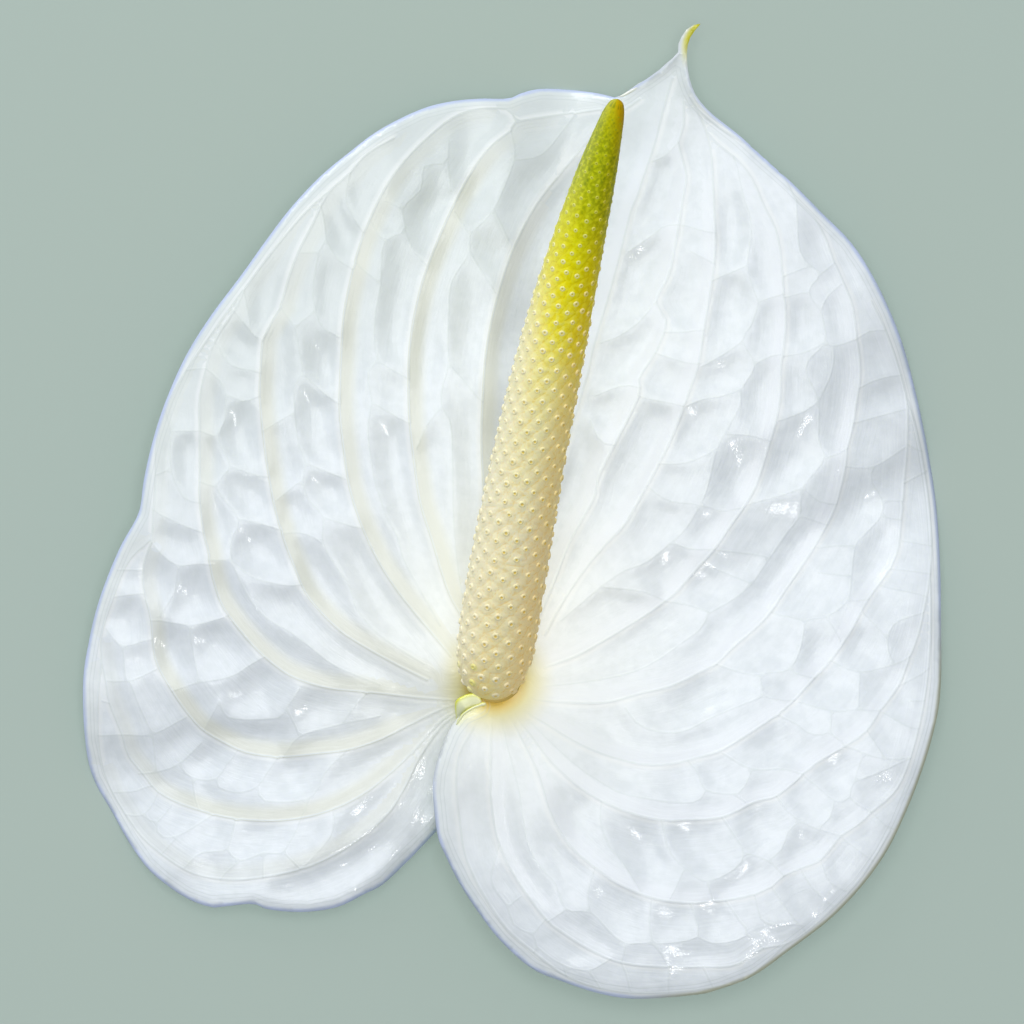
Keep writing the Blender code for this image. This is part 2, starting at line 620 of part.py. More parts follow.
def tube(path, radii, sides):
    """A closed tube along a path."""
    side, up = sweep_frames(path)
    angle = np.linspace(0, 2 * np.pi, sides, endpoint=False)
    ring = np.cos(angle)[None, :, None] * side[:, None] + np.sin(angle)[None, :, None] * up[:, None]
    points = (path[:, None] + ring * np.asarray(radii)[:, None, None]).reshape(-1, 3)
    faces = []
    for i in range(len(path) - 1):
        for j in range(sides):
            a, b = i * sides + j, i * sides + (j + 1) % sides
            faces += [[a, b + sides, b], [a, a + sides, b + sides]]
    last, start, end = (len(path) - 1) * sides, len(points), len(points) + 1
    for j in range(sides):
        faces += [[j, (j + 1) % sides, start], [last + (j + 1) % sides, last + j, end]]
    return np.vstack([points, path[:1], path[-1:]]), np.array(faces)


def stem_solid():
    """The stem from under the spadix, bending to lie on the ground below the right lobe."""
    foot = placed(BASE)
    heading = np.array(STEM_HEADING) / np.linalg.norm(STEM_HEADING)
    lying = STEM_RADIUS + STEM_CLEARANCE
    bend = [(0.0, 10.65), (0.1, 8.8), (0.5, 7.1), (1.8, 5.4), (4.5, 4.2), (8.5, 3.65), (13.0, lying + 0.1),
            (20.0, lying), (32.0, lying), (STEM_REACH, lying)]
    points = np.array([[*(foot + heading * out), up] for out, up in bend])
    path = spline(points, 2.6)
    radii = np.interp(np.linspace(0, 1, len(path)), (0, 0.1, 0.25, 1), (2.5, 2.9, STEM_RADIUS, STEM_RADIUS))
    return tube(path, radii, 18)


def add_node(name, points, faces, colour, roughness):
    mesh = bpy.data.meshes.new(name)
    mesh.from_pydata((points / 1000).tolist(), [], np.asarray(faces).tolist())
    material = bpy.data.materials.new(name + "_finish")
    material.use_nodes = True
    shader = material.node_tree.nodes["Principled BSDF"]
    shader.inputs["Base Color"].default_value = colour
    shader.inputs["Roughness"].default_value = roughness
    mesh.materials.append(material)
    node = bpy.data.objects.new(name, mesh)
    bpy.context.scene.collection.objects.link(node)
    return node


for thing in list(bpy.data.objects):
    bpy.data.objects.remove(thing, do_unlink=True)

spathe_points, spathe_faces = spathe_solid(2.6)
spathe_points[:, 2] += GROUND_LIFT
add_node("spathe", spathe_points, spathe_faces, PETAL_WHITE, 0.25)
add_node("spadix", *spadix_solid(), SPADIX_CREAM, 0.5)
add_node("stem", *stem_solid(), STEM_GREEN, 0.45)
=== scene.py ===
"""Dresses the anthurium: a finer spathe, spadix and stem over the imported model, with floor, light and camera.

Lengths are in millimetres until the meshes are made, in the part's own frame.
"""

import bpy
import numpy as np
from mathutils.geometry import delaunay_2d_cdt
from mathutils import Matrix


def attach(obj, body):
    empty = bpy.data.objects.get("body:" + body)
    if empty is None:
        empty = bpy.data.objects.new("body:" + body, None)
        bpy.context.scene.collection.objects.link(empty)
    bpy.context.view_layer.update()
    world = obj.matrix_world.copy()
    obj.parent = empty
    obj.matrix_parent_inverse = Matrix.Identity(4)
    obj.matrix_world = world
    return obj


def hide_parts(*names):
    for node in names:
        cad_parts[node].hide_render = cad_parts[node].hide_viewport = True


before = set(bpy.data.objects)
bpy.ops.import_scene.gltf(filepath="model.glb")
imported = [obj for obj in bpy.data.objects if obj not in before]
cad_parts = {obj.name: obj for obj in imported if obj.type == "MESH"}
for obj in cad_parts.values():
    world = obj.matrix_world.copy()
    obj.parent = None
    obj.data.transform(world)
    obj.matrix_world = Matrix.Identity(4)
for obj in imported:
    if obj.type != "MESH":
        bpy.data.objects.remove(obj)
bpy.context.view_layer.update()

# Driving dimensions of the drawing and the spathe, with the part's values where its source has them
SPATHE_WIDTH = 150.0
DRAWN_WIDTH = 859.0
UNIT = SPATHE_WIDTH / DRAWN_WIDTH
SHEET_CENTRE = np.array([511.5, 511.0])
BASE = np.array([494.0, 680.0])
COLLAR_RADIUS = 3.9
COLLAR_HEIGHT = 8.5
FUNNEL_RADIUS = 14.0
DOME_POWER = 2.2
RIGHT_LOBE_LIFT = 3.4
RIGHT_LOBE_TURNS = (1.2, 3.6)
LEFT_LOBE_DROP = 2.2
LEFT_LOBE_TURNS = (1.2, 2.7)
LOBES_START = (2.0, 6.0)
RIM_ROLL = 0.8
GROUND_LIFT = 1.275
TIP_LIFT = 3.0
TIP_LIFT_BAND = 1.5
TIP_LIFT_REACH = (6, 26)
OPENING = 0.87
NOTCH_TURN = -2.58
RIGHT_LOBE_FROM = -1.0
LEFT_LOBE_TO = 1.8
MIDRIB_TURN = 0.12

# The spadix and the stem, in the same way
SPADIX_START = np.array([488.0, 697.0])
SPADIX_TIP = np.array([617.0, 100.0])
SPADIX_BOW = 12.0
SPADIX_HEIGHT = 14.9
SPADIX_RISE = 36.5
SPADIX_ARCH = 3.0
STEM_RADIUS = 3.1
STEM_REACH = 44.0
STEM_HEADING = (81.0, -265.0)
STEM_CLEARANCE = 0.3
STEM_RIDGES = 9
STEM_RIDGE_DEPTH = 0.008
STEM_RIM = 0.93

# The mesh of the opened-out spathe: its spacing, and how near points and edges are joined or left out
SHEET_STEP = 1.45
ROW_SHARE = 0.866
POINT_SHARE = 0.56
EDGE_SHARE = 0.45
COLLAR_POINTS = 24
SNAP_GAP = 0.35
TIE_GAP = 0.2
DOUBLED_GAP = 0.1
VEIN_START = 5.5
ON_LINE = 0.05

# The film that shapes the hollows: its reach, its levels at the veins and the rim, and how it is solved
HOLLOW_REACH = 2.6
NET_LEVEL = 0.0
MAIN_LEVEL = 0.2
RIM_LEVEL = 0.2
SMOOTHING = 0.9
HELD = 1e4
FILM_STEPS = 240
FILM_WEIGHTS = (0.03, 3.0)

# The blade: its thickness, rim, ribs and slow swell, and where the relief starts
THICKNESS = 0.8
RIM_THINNING = 0.4
RIM_EDGE = 0.8
RIM_BAND = 1.8
RIB_HEIGHT = 0.25
RIB_WIDTH = 0.9
RIB_START = (2.0, 9.0)
BASE_START = (7.0, 24.0)
TIP_START = (8.0, 26.0)
SWELL_SHARE = 0.3
SWELL_WAVE = 18.0
SWELL_WAVES = 14
SWELL_SPREAD = 3.7

# The lining of the throat, the mesh of the curled edges, and the distance that stands for far off
THROAT_RADIUS = 3.0
THROAT_WIDTH = 1.7
THROAT_RISE = 0.35
THROAT_AROUND = 60
THROAT_SIDES = 12
THROAT_BASE = 4.6
CURL_STEP = 0.5
CURL_POINTS = 46
CURL_SIDES = 14
CURL_TAPER = 12
FAR_OFF = 30.0

# Florets at shares of the spadix's length: spacing across and along, height, and the stigmas' size and rise
FLORET_ACROSS = ((0, 3.6), (0.08, 4.35), (0.16, 4.3), (0.3, 3.6), (0.42, 3.15), (0.72, 3.1), (0.85, 2.9),
                 (0.95, 2.2), (1, 1.6))
FLORET_ALONG = ((0, 1.4), (0.14, 1.66), (0.41, 1.92), (0.56, 1.85), (0.71, 1.57), (0.85, 1.32), (0.93, 1.16),
                (1, 0.95))
FLORET_RELIEF = ((0, 0.2), (0.6, 0.18), (0.75, 0.12), (0.85, 0.08), (0.93, 0.04), (1, 0.0))
STIGMA_SIZE = ((0, 0.62), (0.5, 0.55), (0.68, 0.46), (0.8, 0.34), (0.92, 0.24), (1, 0.18))
STIGMA_RISE = ((0, 0.23), (0.55, 0.22), (0.68, 0.17), (0.8, 0.1), (0.92, 0.05), (1, 0.0))

# The rings of a stigma: radius, height and share of the pit's colour
STIGMA_RINGS = ((1.15, -0.6, 0), (1.0, 0.1, 0), (0.84, 0.66, 0), (0.64, 1.0, 0), (0.46, 0.92, 0.2),
                (0.32, 0.6, 0.9))
STIGMA_FLOOR = 0.5

# Rows of florets in one turn of the helix, how they are scattered and eased apart, and where they end
ROWS_A_TURN = 6
FLORET_SCATTER = 0.0007
EASING_PASSES = 24
EASING_REACH = 1.4
EASING_PUSH = 0.2
FLORET_ENDS = (0.02, 0.985)

# Widths in the florets' relief, in steps between them: the grooves, the seams across each, and its bulge
GROOVE_WIDTH = 0.14
SEAM_WIDTH = 0.09
BULGE_WIDTH = 0.5

# How deep the florets sit in the smooth spadix, and the share of their height at which the stigmas stand
FLORET_SINK = 0.1
STIGMA_SEAT = 0.8

# How much the stigmas differ in size and in rise, the steps of the profile, slope, search and body, and sides
STIGMA_SIZE_SPREAD = 0.12
STIGMA_RISE_SPREAD = 0.2
PROFILE_STEP = 0.3
SLOPE_STEP = 0.004
SEARCH_BLOCKS = 60
SEARCH_REACH = 0.05
SPADIX_STEP = 0.27
SPADIX_SIDES = 112
STIGMA_SIDES = 12
STEM_SIDES = 72

# The florets' colours at shares of the spadix's length: body, border and arms
FLORET_COLOURS = (
    (0.0, (253, 230, 140), (244, 204, 84), (244, 226, 160)),
    (0.06, (254, 240, 186), (244, 208, 116), (246, 234, 190)),
    (0.3, (255, 245, 204), (246, 214, 130), (247, 238, 206)),
    (0.47, (255, 246, 188), (246, 214, 112), (247, 239, 192)),
    (0.56, (255, 242, 146), (232, 206, 74), (250, 241, 165)),
    (0.62, (250, 236, 62), (226, 200, 24), (248, 240, 110)),
    (0.7, (240, 228, 2), (212, 194, 2), (244, 238, 60)),
    (0.77, (222, 218, 0), (194, 182, 2), (230, 228, 36)),
    (0.85, (168, 178, 4), (160, 162, 8), (204, 210, 24)),
    (0.93, (158, 168, 2), (150, 155, 5), (194, 200, 10)),
    (0.98, (190, 184, 0), (176, 170, 0), (196, 190, 0)),
    (1.0, (196, 168, 0), (186, 158, 0), (198, 170, 0)))

# Colours across the rolled strip and the lips, of the stigmas along the spadix, and in the stem's streaks
ROLL_COLOURS = ((0.0, (235, 236, 160)), (0.2, (236, 240, 228)), (0.6, (242, 246, 238)),
                (0.9, (250, 250, 240)))
LIP_COLOURS = ((0.0, (238, 236, 110)), (0.25, (242, 244, 208)), (0.7, (240, 243, 200)),
               (0.95, (222, 226, 60)))
RING_COLOURS = ((0.0, (244, 234, 196)), (0.6, (247, 240, 184)), (0.72, (240, 236, 160)),
                (0.84, (214, 216, 96)), (0.95, (180, 184, 20)))
PIT_COLOURS = ((0.0, (230, 200, 104)), (0.6, (226, 200, 92)), (0.75, (190, 182, 20)), (0.9, (150, 160, 8)))
STREAK_COLOURS = ((0.3, (96, 128, 52)), (0.5, (118, 148, 66)), (0.72, (140, 166, 84)))

# Tints round the base, the nearer two yellow darkened as painted shade under the spadix's foot: the distances
# between which each fades out, its share and its colour
BASE_TINTS_AND_PAINTED_SHADE = ((8.0, 45.0, 0.35, (243, 244, 232)), (4.8, 11.5, 0.85, (226, 218, 150)),
              (4.0, 6.6, 0.9, (200, 170, 62)))

# Width and share of the lines on the main veins and the net, where they start, and insets of two at the rim
MAIN_LINE = (0.26, 0.2)
NET_LINE = (0.2, 0.14)
VEINS_CLEAR = (5.5, 13.0)
RIM_LINES = (1.15, 1.75)

# Each lamp's name, heading and tilt in degrees, distance and size in metres, watts, colour and shadow
COOL, WHITE = (0.97, 0.99, 1.0), (1.0, 1.0, 1.0)
LAMPS = (("key", -25.0, 60.0, 2.2, 1.5, 31.0, COOL, False),
         ("overhead", 0.0, 4.0, 4.0, 2.5, 40.5, COOL, True),
         ("glints", 140.0, 25.0, 1.3, 0.05, 0.95, WHITE, False),
         ("near_glints", -158.0, 13.0, 1.3, 0.05, 0.15, WHITE, False))
SKY = (0.95, 0.98, 1.0, 1.0)
SKY_STRENGTH = 0.342
FLOOR_REACH = 12

# The drawing's side, and in metres the heights of the camera and where the picture has the drawing's scale
PICTURE_SIDE = 1024
CAMERA_HEIGHT = 8.0
TRUE_HEIGHT = 0.012

# The spathe's outline and veins as drawn. A point is x,y, x to the right and y down, and ";" ends a line.
# The outline runs from the tip down the right side into the notch, then from the notch up the left side.
OUTLINE = """
700.2,22.6 696.5,27 691.5,33 688,40.5 686.8,47 686.5,56 687,64 688,72 689.8,80 693,89 698,98 712,113 740,135
765,158 790,180 820,210 850,240 870,270 890,310 905,350 918,400 928,450 936,500 940,560 941,620 941,680
936,720 920,775 900,824 883,856 860,887 830,918 791,948 753,975 720,988 696,994 638,998 600,993 560,980
530,967 500,940 480,915 460,885 445,855 436,832 432,790 434,770 440,750 449,729 461,713 478,706; 474,740
466,770 457,798 446,819 432,835 410,858 385,883 363,894 338,906 310,911 287,911 264,908 252,903 225,905
210,906 187,898 164,883 145,866 126,839 111,812 92,778 84,740 82,680 88,640 95,610 105,580 120,545 138,512
143,480 152,440 165,400 185,355 210,315 240,275 265,240 290,207 320,175 350,150 380,128 420,108 450,100
480,97 508,97 520,92 540,87 570,88 600,92 613,96 622,93.5 630.6,87.5 638,82.5 646,78 653.6,72.7 661,67.4
666.6,62 671,58.4 675,55 678.2,50.5 677.9,45.2 679.2,40.6 683,33 688,26.8 694,23.6;
"""
LEFT_VEINS = """
490,700 520,600 555,480 585,380 594,343 609,291 620,250 630,211 638,192 646,167 654,144 665,103 673,77;
488,690 482,600 480,530 483,500 481,443 482,400 486,347 497,296 513,248 535,205 560,172 598,128 640,98;
478,680 460,614 447,589 431,538 420,503 414,465 409,420 408,379 409,347 415,309 423,277 436,242 454,202
470,172 489,146 510,129 514,121 560,113 600,108; 470,680 451,656 433,634 411,608 392,583 376,557 360,522
349,487 344,455 340,423 339,395 341,347 343,315 349,283 357,251 366,226 379,197 392,175 407,156 427,136
451,117 475,108 508,108 514,121; 465,690 427,679 395,663 366,647 341,631 321,612 305,592 293,564 283,538
274,506 267,468 262,430 259,392 260,369 262,341 269,325 280,305 288,277 299,248 312,223 321,203 331,188
349,172 366,153 393,137; 462,698 443,698 411,696 366,691 331,688 302,680 283,671 264,656 248,640 229,616
219,599 211,573 208,551 203,532 199,500 199,468 199,430 199,398 206,366 210,350 219,331 234,309 243,290
254,274 280,240 306,210 331,188; 462,702 443,707 411,723 379,739 347,749 315,753 283,756 251,753 229,745
203,730 188,714 170,688 156,663 152,643 150,618 143,589 143,564 151,538 153,506 155,474 156,443 165,408
186,369 219,322 254,274; 463,706 440,720 414,749 388,774 363,793 334,808 302,817 267,820 229,817 197,809
175,801 156,790 143,774 127,755 121,734 108,701 105,680 101,659 101,633 112,598 128,560 151,538; 466,709
443,723 420,755 404,787 388,812 363,835 334,854 302,868 264,876 232,879 200,875 181,867 159,852 140,835
125,814 112,793 101,765 97,735 97,700 101,659;
"""
RIGHT_VEINS = """
520,660 550,590 570,540 593,498 598,476 614,444 638,396 639,377 655,352 664,331 665,317 656,300 668,275
674,250 678,227 682,202 686,176 682,157 678,141 683,125 684,100; 520,665 544,634 560,605 576,580 601,548
623,525 638,500 646,486 660,460 674,431 687,396 698,364 703,332 709,297 713,272 715,243 714,211 713,186
711,154 706,130 697,108 690,96; 522,674 544,667 576,655 608,637 639,618 665,600 678,589 700,564 714,548
732,522 745,504 757,482 767,450 776,419 780,396 781,364 785,332 785,307 782,275 780,250 775,227 764,205
751,176 735,157 718,143 706,130; 524,690 534,699 576,702 608,701 639,693 671,685 700,671 716,663 732,647
751,631 769,613 783,592 799,569 813,548 826,525 836,503 845,466 847,447 852,428 856,403 860,371 856,332
852,304 843,281 832,256 824,234 812,214 796,199 783,176 754,148 722,128 697,108; 518,703 525,712 544,723
576,742 608,755 639,763 671,763 703,755 722,749 751,731 776,714 794,699 812,679 831,659 850,631 867,600
888,570 898,548 901,519 903,500 904,482 907,444 907,403 901,374 896,358 885,329 871,300; 512,708 515,717
531,736 550,761 576,784 601,800 630,812 659,819 687,819 722,816 754,801 776,795 802,774 818,761 847,744
866,730 880,710 898,685 907,663 917,637 923,612 930,573 931,532 926,480 916,430 901,374; 504,711 509,717
518,733 537,771 550,812 569,844 595,867 620,884 652,897 687,902 719,900 748,895 770,886 783,875 799,868
820,859 840,836 860,822 871,811 895,790 910,757 924,700 930,640 930,573; 491,714 490,755 491,803 499,844
515,876 544,916 563,932 592,950 623,962 668,966 703,966 735,964 761,948 786,943 807,930 835,905 862,875
890,830; 480,716 470,733 459,755 456,787 459,819 463,848 471,870 484,895 506,927 532,950 566,975 600,987
638,992 696,989 745,977 786,943;
"""
LEFT_NET = """
510,129 513,159 493,208 469,234 469,251 451,280 448,309 447,341 448,363 442,385 441,406 450,423 452,474
454,538 462,600; 513,159 540,154 560,132 575,112; 493,208 508,239; 454,211 469,234; 469,251 482,272 495,292;
448,363 465,382 482,402; 441,406 427,423 416,448; 448,139 445,161 423,165 420,188 402,207 404,229 383,242
380,283 374,315 374,347 377,360 368,369 368,385 371,401 367,427 369,449 374,481 385,513 398,538 404,560
440,625; 447,161 450,190; 402,207 385,200; 404,229 412,248 425,264; 370,220 383,242; 377,360 392,369
408,378; 371,401 388,411 409,423; 355,262 380,283; 321,205 325,239 318,251 312,290 315,309 321,325 339,336;
349,172 345,197 353,216 363,232; 325,239 337,258 352,267; 300,252 318,251; 280,307 294,326 298,347 301,372
294,385 294,411 298,443 305,462 302,478 307,497 323,517 322,541 337,567 349,586 355,605 372,628 398,647
424,663; 301,372 315,385 339,404; 305,462 325,470 345,478; 323,517 341,522 361,528; 294,326 315,309; 262,430
294,411; 275,500 302,478; 283,532 302,532 322,541; 234,310 251,331 262,340; 206,366 221,382 225,392 224,420
217,436 229,465 216,486 238,518 231,538 231,559 248,596 267,618 290,631 315,650 337,666 380,684; 215,340
229,363 260,371; 225,392 242,400 259,395; 200,430 217,436; 229,465 245,471 267,477; 199,481 216,486; 238,518
258,522 281,529; 208,559 231,559; 231,559 251,576 277,583 301,585; 251,331 243,290; 170,430 199,430; 186,369
206,366; 170,430 170,468 184,497 199,500; 155,474 170,468; 165,408 170,430; 153,510 178,522 203,532; 151,542
165,557 178,564 209,562; 178,564 173,592 159,615; 151,618 188,624 210,620 228,615; 189,624 191,645 199,681;
171,690 197,682 229,676 251,663 264,656; 219,700 229,717 277,717 286,707 299,688; 203,730 219,700; 342,723
349,712 366,692; 283,756 300,735 342,723 380,715; 286,707 300,735; 117,569 141,569; 114,596 143,592; 105,628
122,645 151,637; 122,645 125,680; 106,680 129,680 156,668; 129,680 138,704 152,733; 121,734 152,733 186,716;
138,773 156,771 178,763 201,742; 152,733 156,771; 179,764 191,777 215,778 229,760 239,750; 215,778 219,787
239,792 258,785 267,771 277,757; 191,777 197,809; 258,785 264,800 309,797 325,771 347,749; 309,797 302,817;
113,792 136,790 150,783; 125,814 143,814 159,793; 143,814 156,822 172,803; 156,822 159,835 178,835 212,814;
178,835 162,852; 184,867 200,852 226,848 235,819; 226,848 239,860 264,852 283,851 302,817; 219,877 239,860;
283,851 300,868; 264,852 262,876; 334,808 330,835 302,868; 101,700 108,701; 97,735 121,734;
"""
RIGHT_NET = """
678,141 665,154 652,160; 678,222 662,226 652,234 628,250; 678,222 700,229 715,232; 656,300 639,320 620,334
600,342; 664,331 684,331 703,328; 638,385 620,385 594,395; 655,352 680,360 698,364; 614,444 600,440 590,420;
638,396 660,400 683,405; 735,157 742,190 751,224 747,264 754,291 758,300 751,323 742,340 754,364 741,388
740,403 727,428 716,449 708,482 700,503 684,529 671,541 646,561 623,570 600,586 560,620; 711,279 729,272
747,264; 758,300 783,293; 700,366 725,352 742,340; 754,364 767,356 781,353; 686,405 703,398 722,395 741,388;
660,463 684,462 703,455 716,449; 727,433 748,434 770,440; 690,250 713,262; 646,486 670,500 700,503; 700,503
722,510 742,506; 600,586 640,590 665,600; 671,541 690,548 714,548; 796,199 799,248 810,264 820,273 808,290
820,310 824,326 824,342 805,366 818,400 818,438 824,458 802,487 799,514 786,532 769,557 751,583 732,599
710,612 700,628 684,640 662,656 633,671 592,680 545,686; 783,275 810,264; 784,296 808,290; 820,273 834,262;
820,310 828,294 841,283; 783,355 802,352 824,342; 824,342 834,345 856,338; 834,345 831,371 818,400; 778,420
802,411 818,400; 823,458 847,449; 779,495 802,487; 779,495 748,503; 717,549 751,553 769,557; 665,600 687,604
710,612; 751,583 720,570 704,562; 799,514 815,520 827,524; 836,503 818,500 802,487; 885,329 869,330 856,338;
858,387 875,379 900,373; 853,422 875,416 905,408; 845,466 874,465 905,446; 874,465 870,478 882,500 880,516
866,532 855,545 851,576 847,600 826,616 806,621 800,647 788,669 761,674 762,694 741,704 710,717 684,730
659,731 638,723 625,707; 882,500 902,500; 880,516 901,519; 813,548 835,545 855,545; 770,613 789,616 806,621;
847,600 867,600; 716,663 732,669 751,674 761,674; 788,669 799,674 814,677; 761,674 762,694 793,701; 818,572
851,576; 826,616 840,640; 904,482 926,470; 907,444 921,450; 907,403 914,420; 923,612 896,621 887,637 889,655
895,663; 862,612 887,637; 901,540 931,545; 890,568 930,573; 878,585 926,595; 831,661 859,671 895,663
909,656; 859,671 858,709; 799,701 831,710 858,709 879,710; 831,710 828,731 810,733 796,723 778,714; 828,731
846,744; 722,752 751,768 781,768 802,773; 751,768 745,784 734,793 705,789 698,774 689,760; 705,789 697,800
671,801 623,793 601,782 576,765 550,742 530,722; 734,793 745,801; 802,774 818,787 834,800 848,798 853,782
875,773 910,757; 846,744 863,752 885,758 910,757; 834,800 828,819 815,827; 776,795 786,809 799,820 815,827
840,835; 848,798 871,811; 853,782 863,752; 799,820 788,830 781,848 768,860; 722,816 732,832 743,851 735,867
706,880 684,867 668,848 662,820; 743,851 768,860 783,874; 706,880 713,900; 601,800 600,820 608,844 623,863
640,890; 684,867 670,897; 499,714 509,755 518,787 521,806 528,844 541,867 555,883 566,908 590,911 608,929
625,942 652,943 669,965; 590,911 587,895 593,868; 652,943 649,921 651,898; 652,943 684,940 698,934 694,914
690,902; 698,934 710,942 732,940 748,932 738,918 726,900; 748,932 761,948; 625,942 623,962; 566,908 548,920;
754,894 764,921 799,924 807,930; 771,886 786,908 799,924; 820,859 828,880 845,890; 799,868 815,890 832,905;
840,836 858,850 872,860; 871,811 885,825 893,828; 499,844 491,879 507,905 514,924 533,934 537,946 563,964
588,969 610,958; 507,905 521,895; 533,934 544,917; 537,946 532,950; 563,964 566,975; 588,969 600,987;
623,962 630,990; 668,966 668,990; 703,966 712,985; 910,700 924,700; 898,685 928,670; 880,710 905,725
918,728; 866,730 885,758;
"""

# Points of the rim as drawn, each with its height, the left side's first
RIM_LEFT_ROWS = 15
RIM = """
446 819 4.3, 410 858 4.4, 338 906 5.8, 250 906 6.2, 164 883 3.6, 103 800 0.0, 82 680 4.5,
105 580 6.8, 138 512 8.4, 165 400 8.2, 240 275 8.8, 350 150 7.8, 480 97 4.0, 570 88 0.0, 625 97 2.2,
686 60 4.6, 697 98 5.0, 790 180 6.2, 870 270 5.4, 918 400 2.6, 930 480 0.0, 941 620 4.6, 920 775 7.8,
860 887 9.0, 791 948 9.4, 696 994 9.6, 600 993 9.8, 500 940 9.7, 445 855 9.7, 432 790 10.5, 449 729 11.5
"""

# Curled edges as drawn, each as the points of its outer edge and then of its inner edge
ROLLED_RIM = """
616 95, 622 93, 630.6 87.3, 638 82, 646 78, 653.6 72.7, 661 67.4, 666.6 62, 671 58.2, 676.5 53.6, 679 49.8;
617 96, 622 95.7, 630.6 91.9, 638 88.8, 646 85.4, 653.6 81.1, 661 75.8, 666.6 70.4, 671 63.6, 675 57.4,
678.8 50.6
"""
LEFT_LIP = """
456.6 723.5, 454.4 706, 456 699, 462.5 694.7, 468 692.8, 473.4 692.6, 479.3 695.3, 482 698;
457.2 722, 460.4 714.8, 463.6 711, 469 708, 475.5 705.6, 481 704
"""
RIGHT_LIP = """
455 723, 461.6 712.6, 471.4 705.8, 478.5 703, 484 699.5;
456.6 725, 463.4 714.8, 473 708.2, 480.5 705.6, 487 705
"""

# Each curled edge's mark, drawing, heights over the ground from end to end, and half its thickness
CURLS = ((1, ROLLED_RIM, (0.25, 0.25), 0.55), (2, LEFT_LIP, (0.6, 3.0, 3.6), 0.4),
         (3, RIGHT_LIP, (4.9, 5.9, 5.2), 0.35))

# Height of the ground between the collar and the rim, for each direction in degrees from the tip's
CROWN = ((-165, 8.4), (-120, 8.0), (-80, 8.0), (-40, 8.0), (-10, 8.2), (12, 8.2), (35, 8.4),
         (70, 8.8), (110, 10.0), (150, 11.0), (200, 10.6), (240, 10.0))

# Depth of the hollows between the veins, for each direction in degrees
HOLLOWS = ((-180, 1.9), (-110, 2.5), (-60, 2.9), (-20, 2.5), (20, 2.1), (60, 1.8), (120, 1.8), (240, 1.8))

# Share of the spadix's length and its radius there
SPADIX_PROFILE = ((0, 0), (0.004, 2.0), (0.014, 3.9), (0.037, 5.6), (0.079, 6.6), (0.129, 6.75),
                  (0.229, 6.7), (0.464, 6.15), (0.531, 5.95), (0.665, 5.3), (0.8, 4.25),
                  (0.883, 3.45), (0.928, 2.8), (0.953, 2.42), (0.976, 1.98), (0.9915, 1.35),
                  (0.997, 0.8), (1, 0))


def lines(text):
    """The drawn lines in a block of text, each an array of points."""
    found = []
    for line in text.split(";"):
        numbers = line.replace(",", " ").split()
        if numbers:
            found.append(np.array(numbers, float).reshape(-1, 2))
    return found


def placed(drawn):
    """Drawn points as x and y in the part."""
    return (np.asarray(drawn) - SHEET_CENTRE) * UNIT * (1, -1)


def polar(drawn, right):
    """Distance from the base, and direction clockwise from straight up, past half a turn in either lobe."""
    across, up = ((np.asarray(drawn)[:, :2] - BASE) * UNIT * (1, -1)).T
    turn = np.arctan2(across, up)
    if right:
        turn = np.where(turn < RIGHT_LOBE_FROM, turn + 2 * np.pi, turn)
    else:
        turn = np.where(turn > LEFT_LOBE_TO, turn - 2 * np.pi, turn)
    return np.hypot(across, up), turn


def flat(distance, turn):
    """The point on the opened-out sheet, where the lobes lie side by side at the notch."""
    return np.stack([distance * np.sin(turn * OPENING), distance * np.cos(turn * OPENING)], 1)


def unflat(sheet):
    """Distance and direction of points on the opened-out sheet."""
    turn = np.arctan2(sheet[:, 0], sheet[:, 1])
    return np.hypot(*sheet.T), np.where(turn < NOTCH_TURN, turn + 2 * np.pi, turn) / OPENING


def spline(points, step):
    """Points about a step apart on a smooth curve through the given ones."""
    points = np.asarray(points, float)
    ends = np.vstack([2 * points[0] - points[1], points, 2 * points[-1] - points[-2]])
    t = np.linspace(0, 1, 9)[:-1, None]
    pieces = []
    for a, b, c, d in zip(ends, ends[1:], ends[2:], ends[3:]):
        bend = (2 * a - 5 * b + 4 * c - d) * t**2 + (3 * b - a - 3 * c + d) * t**3
        pieces.append(0.5 * (2 * b + (c - a) * t + bend))
    fine = np.vstack([*pieces, points[-1:]])
    along = np.concatenate([[0], np.cumsum(np.linalg.norm(np.diff(fine, axis=0), axis=1))])
    at = np.linspace(0, along[-1], max(1, round(along[-1] / step)) + 1)
    return np.stack([np.interp(at, along, fine[:, i]) for i in range(fine.shape[1])], 1)


def table(values, at):
    """A table of pairs read at the given places."""
    places, heights = zip(*values)
    return np.interp(at, places, heights)


def waved(turn, turns, values):
    """Values between those of a table, level at each of its entries."""
    place = np.clip(np.searchsorted(turns, turn) - 1, 0, len(turns) - 2)
    share = np.clip((turn - turns[place]) / (turns[place + 1] - turns[place]), 0, 1)
    share = share * share * (3 - 2 * share)
    return values[place] * (1 - share) + values[place + 1] * share


def ramp(value, low, high):
    """A smooth rise from 0 at the low value to 1 at the high one."""
    share = np.clip((value - low) / (high - low), 0, 1)
    return share * share * (3 - 2 * share)


def distance_to(points, starts, ends):
    """Distance from each point to the nearest of the straight pieces."""
    best = np.full(len(points), np.inf)
    for start, span in zip(starts, ends - starts):
        rel = points - start
        share = np.clip(rel @ span / max(span @ span, 1e-12), 0, 1)
        best = np.minimum(best, ((rel - share[:, None] * span) ** 2).sum(1))
    return np.sqrt(best)


def edges_of(faces):
    """Both ends of each side of each triangle."""
    return np.vstack([faces[:, [0, 1]], faces[:, [1, 2]], faces[:, [2, 0]]])


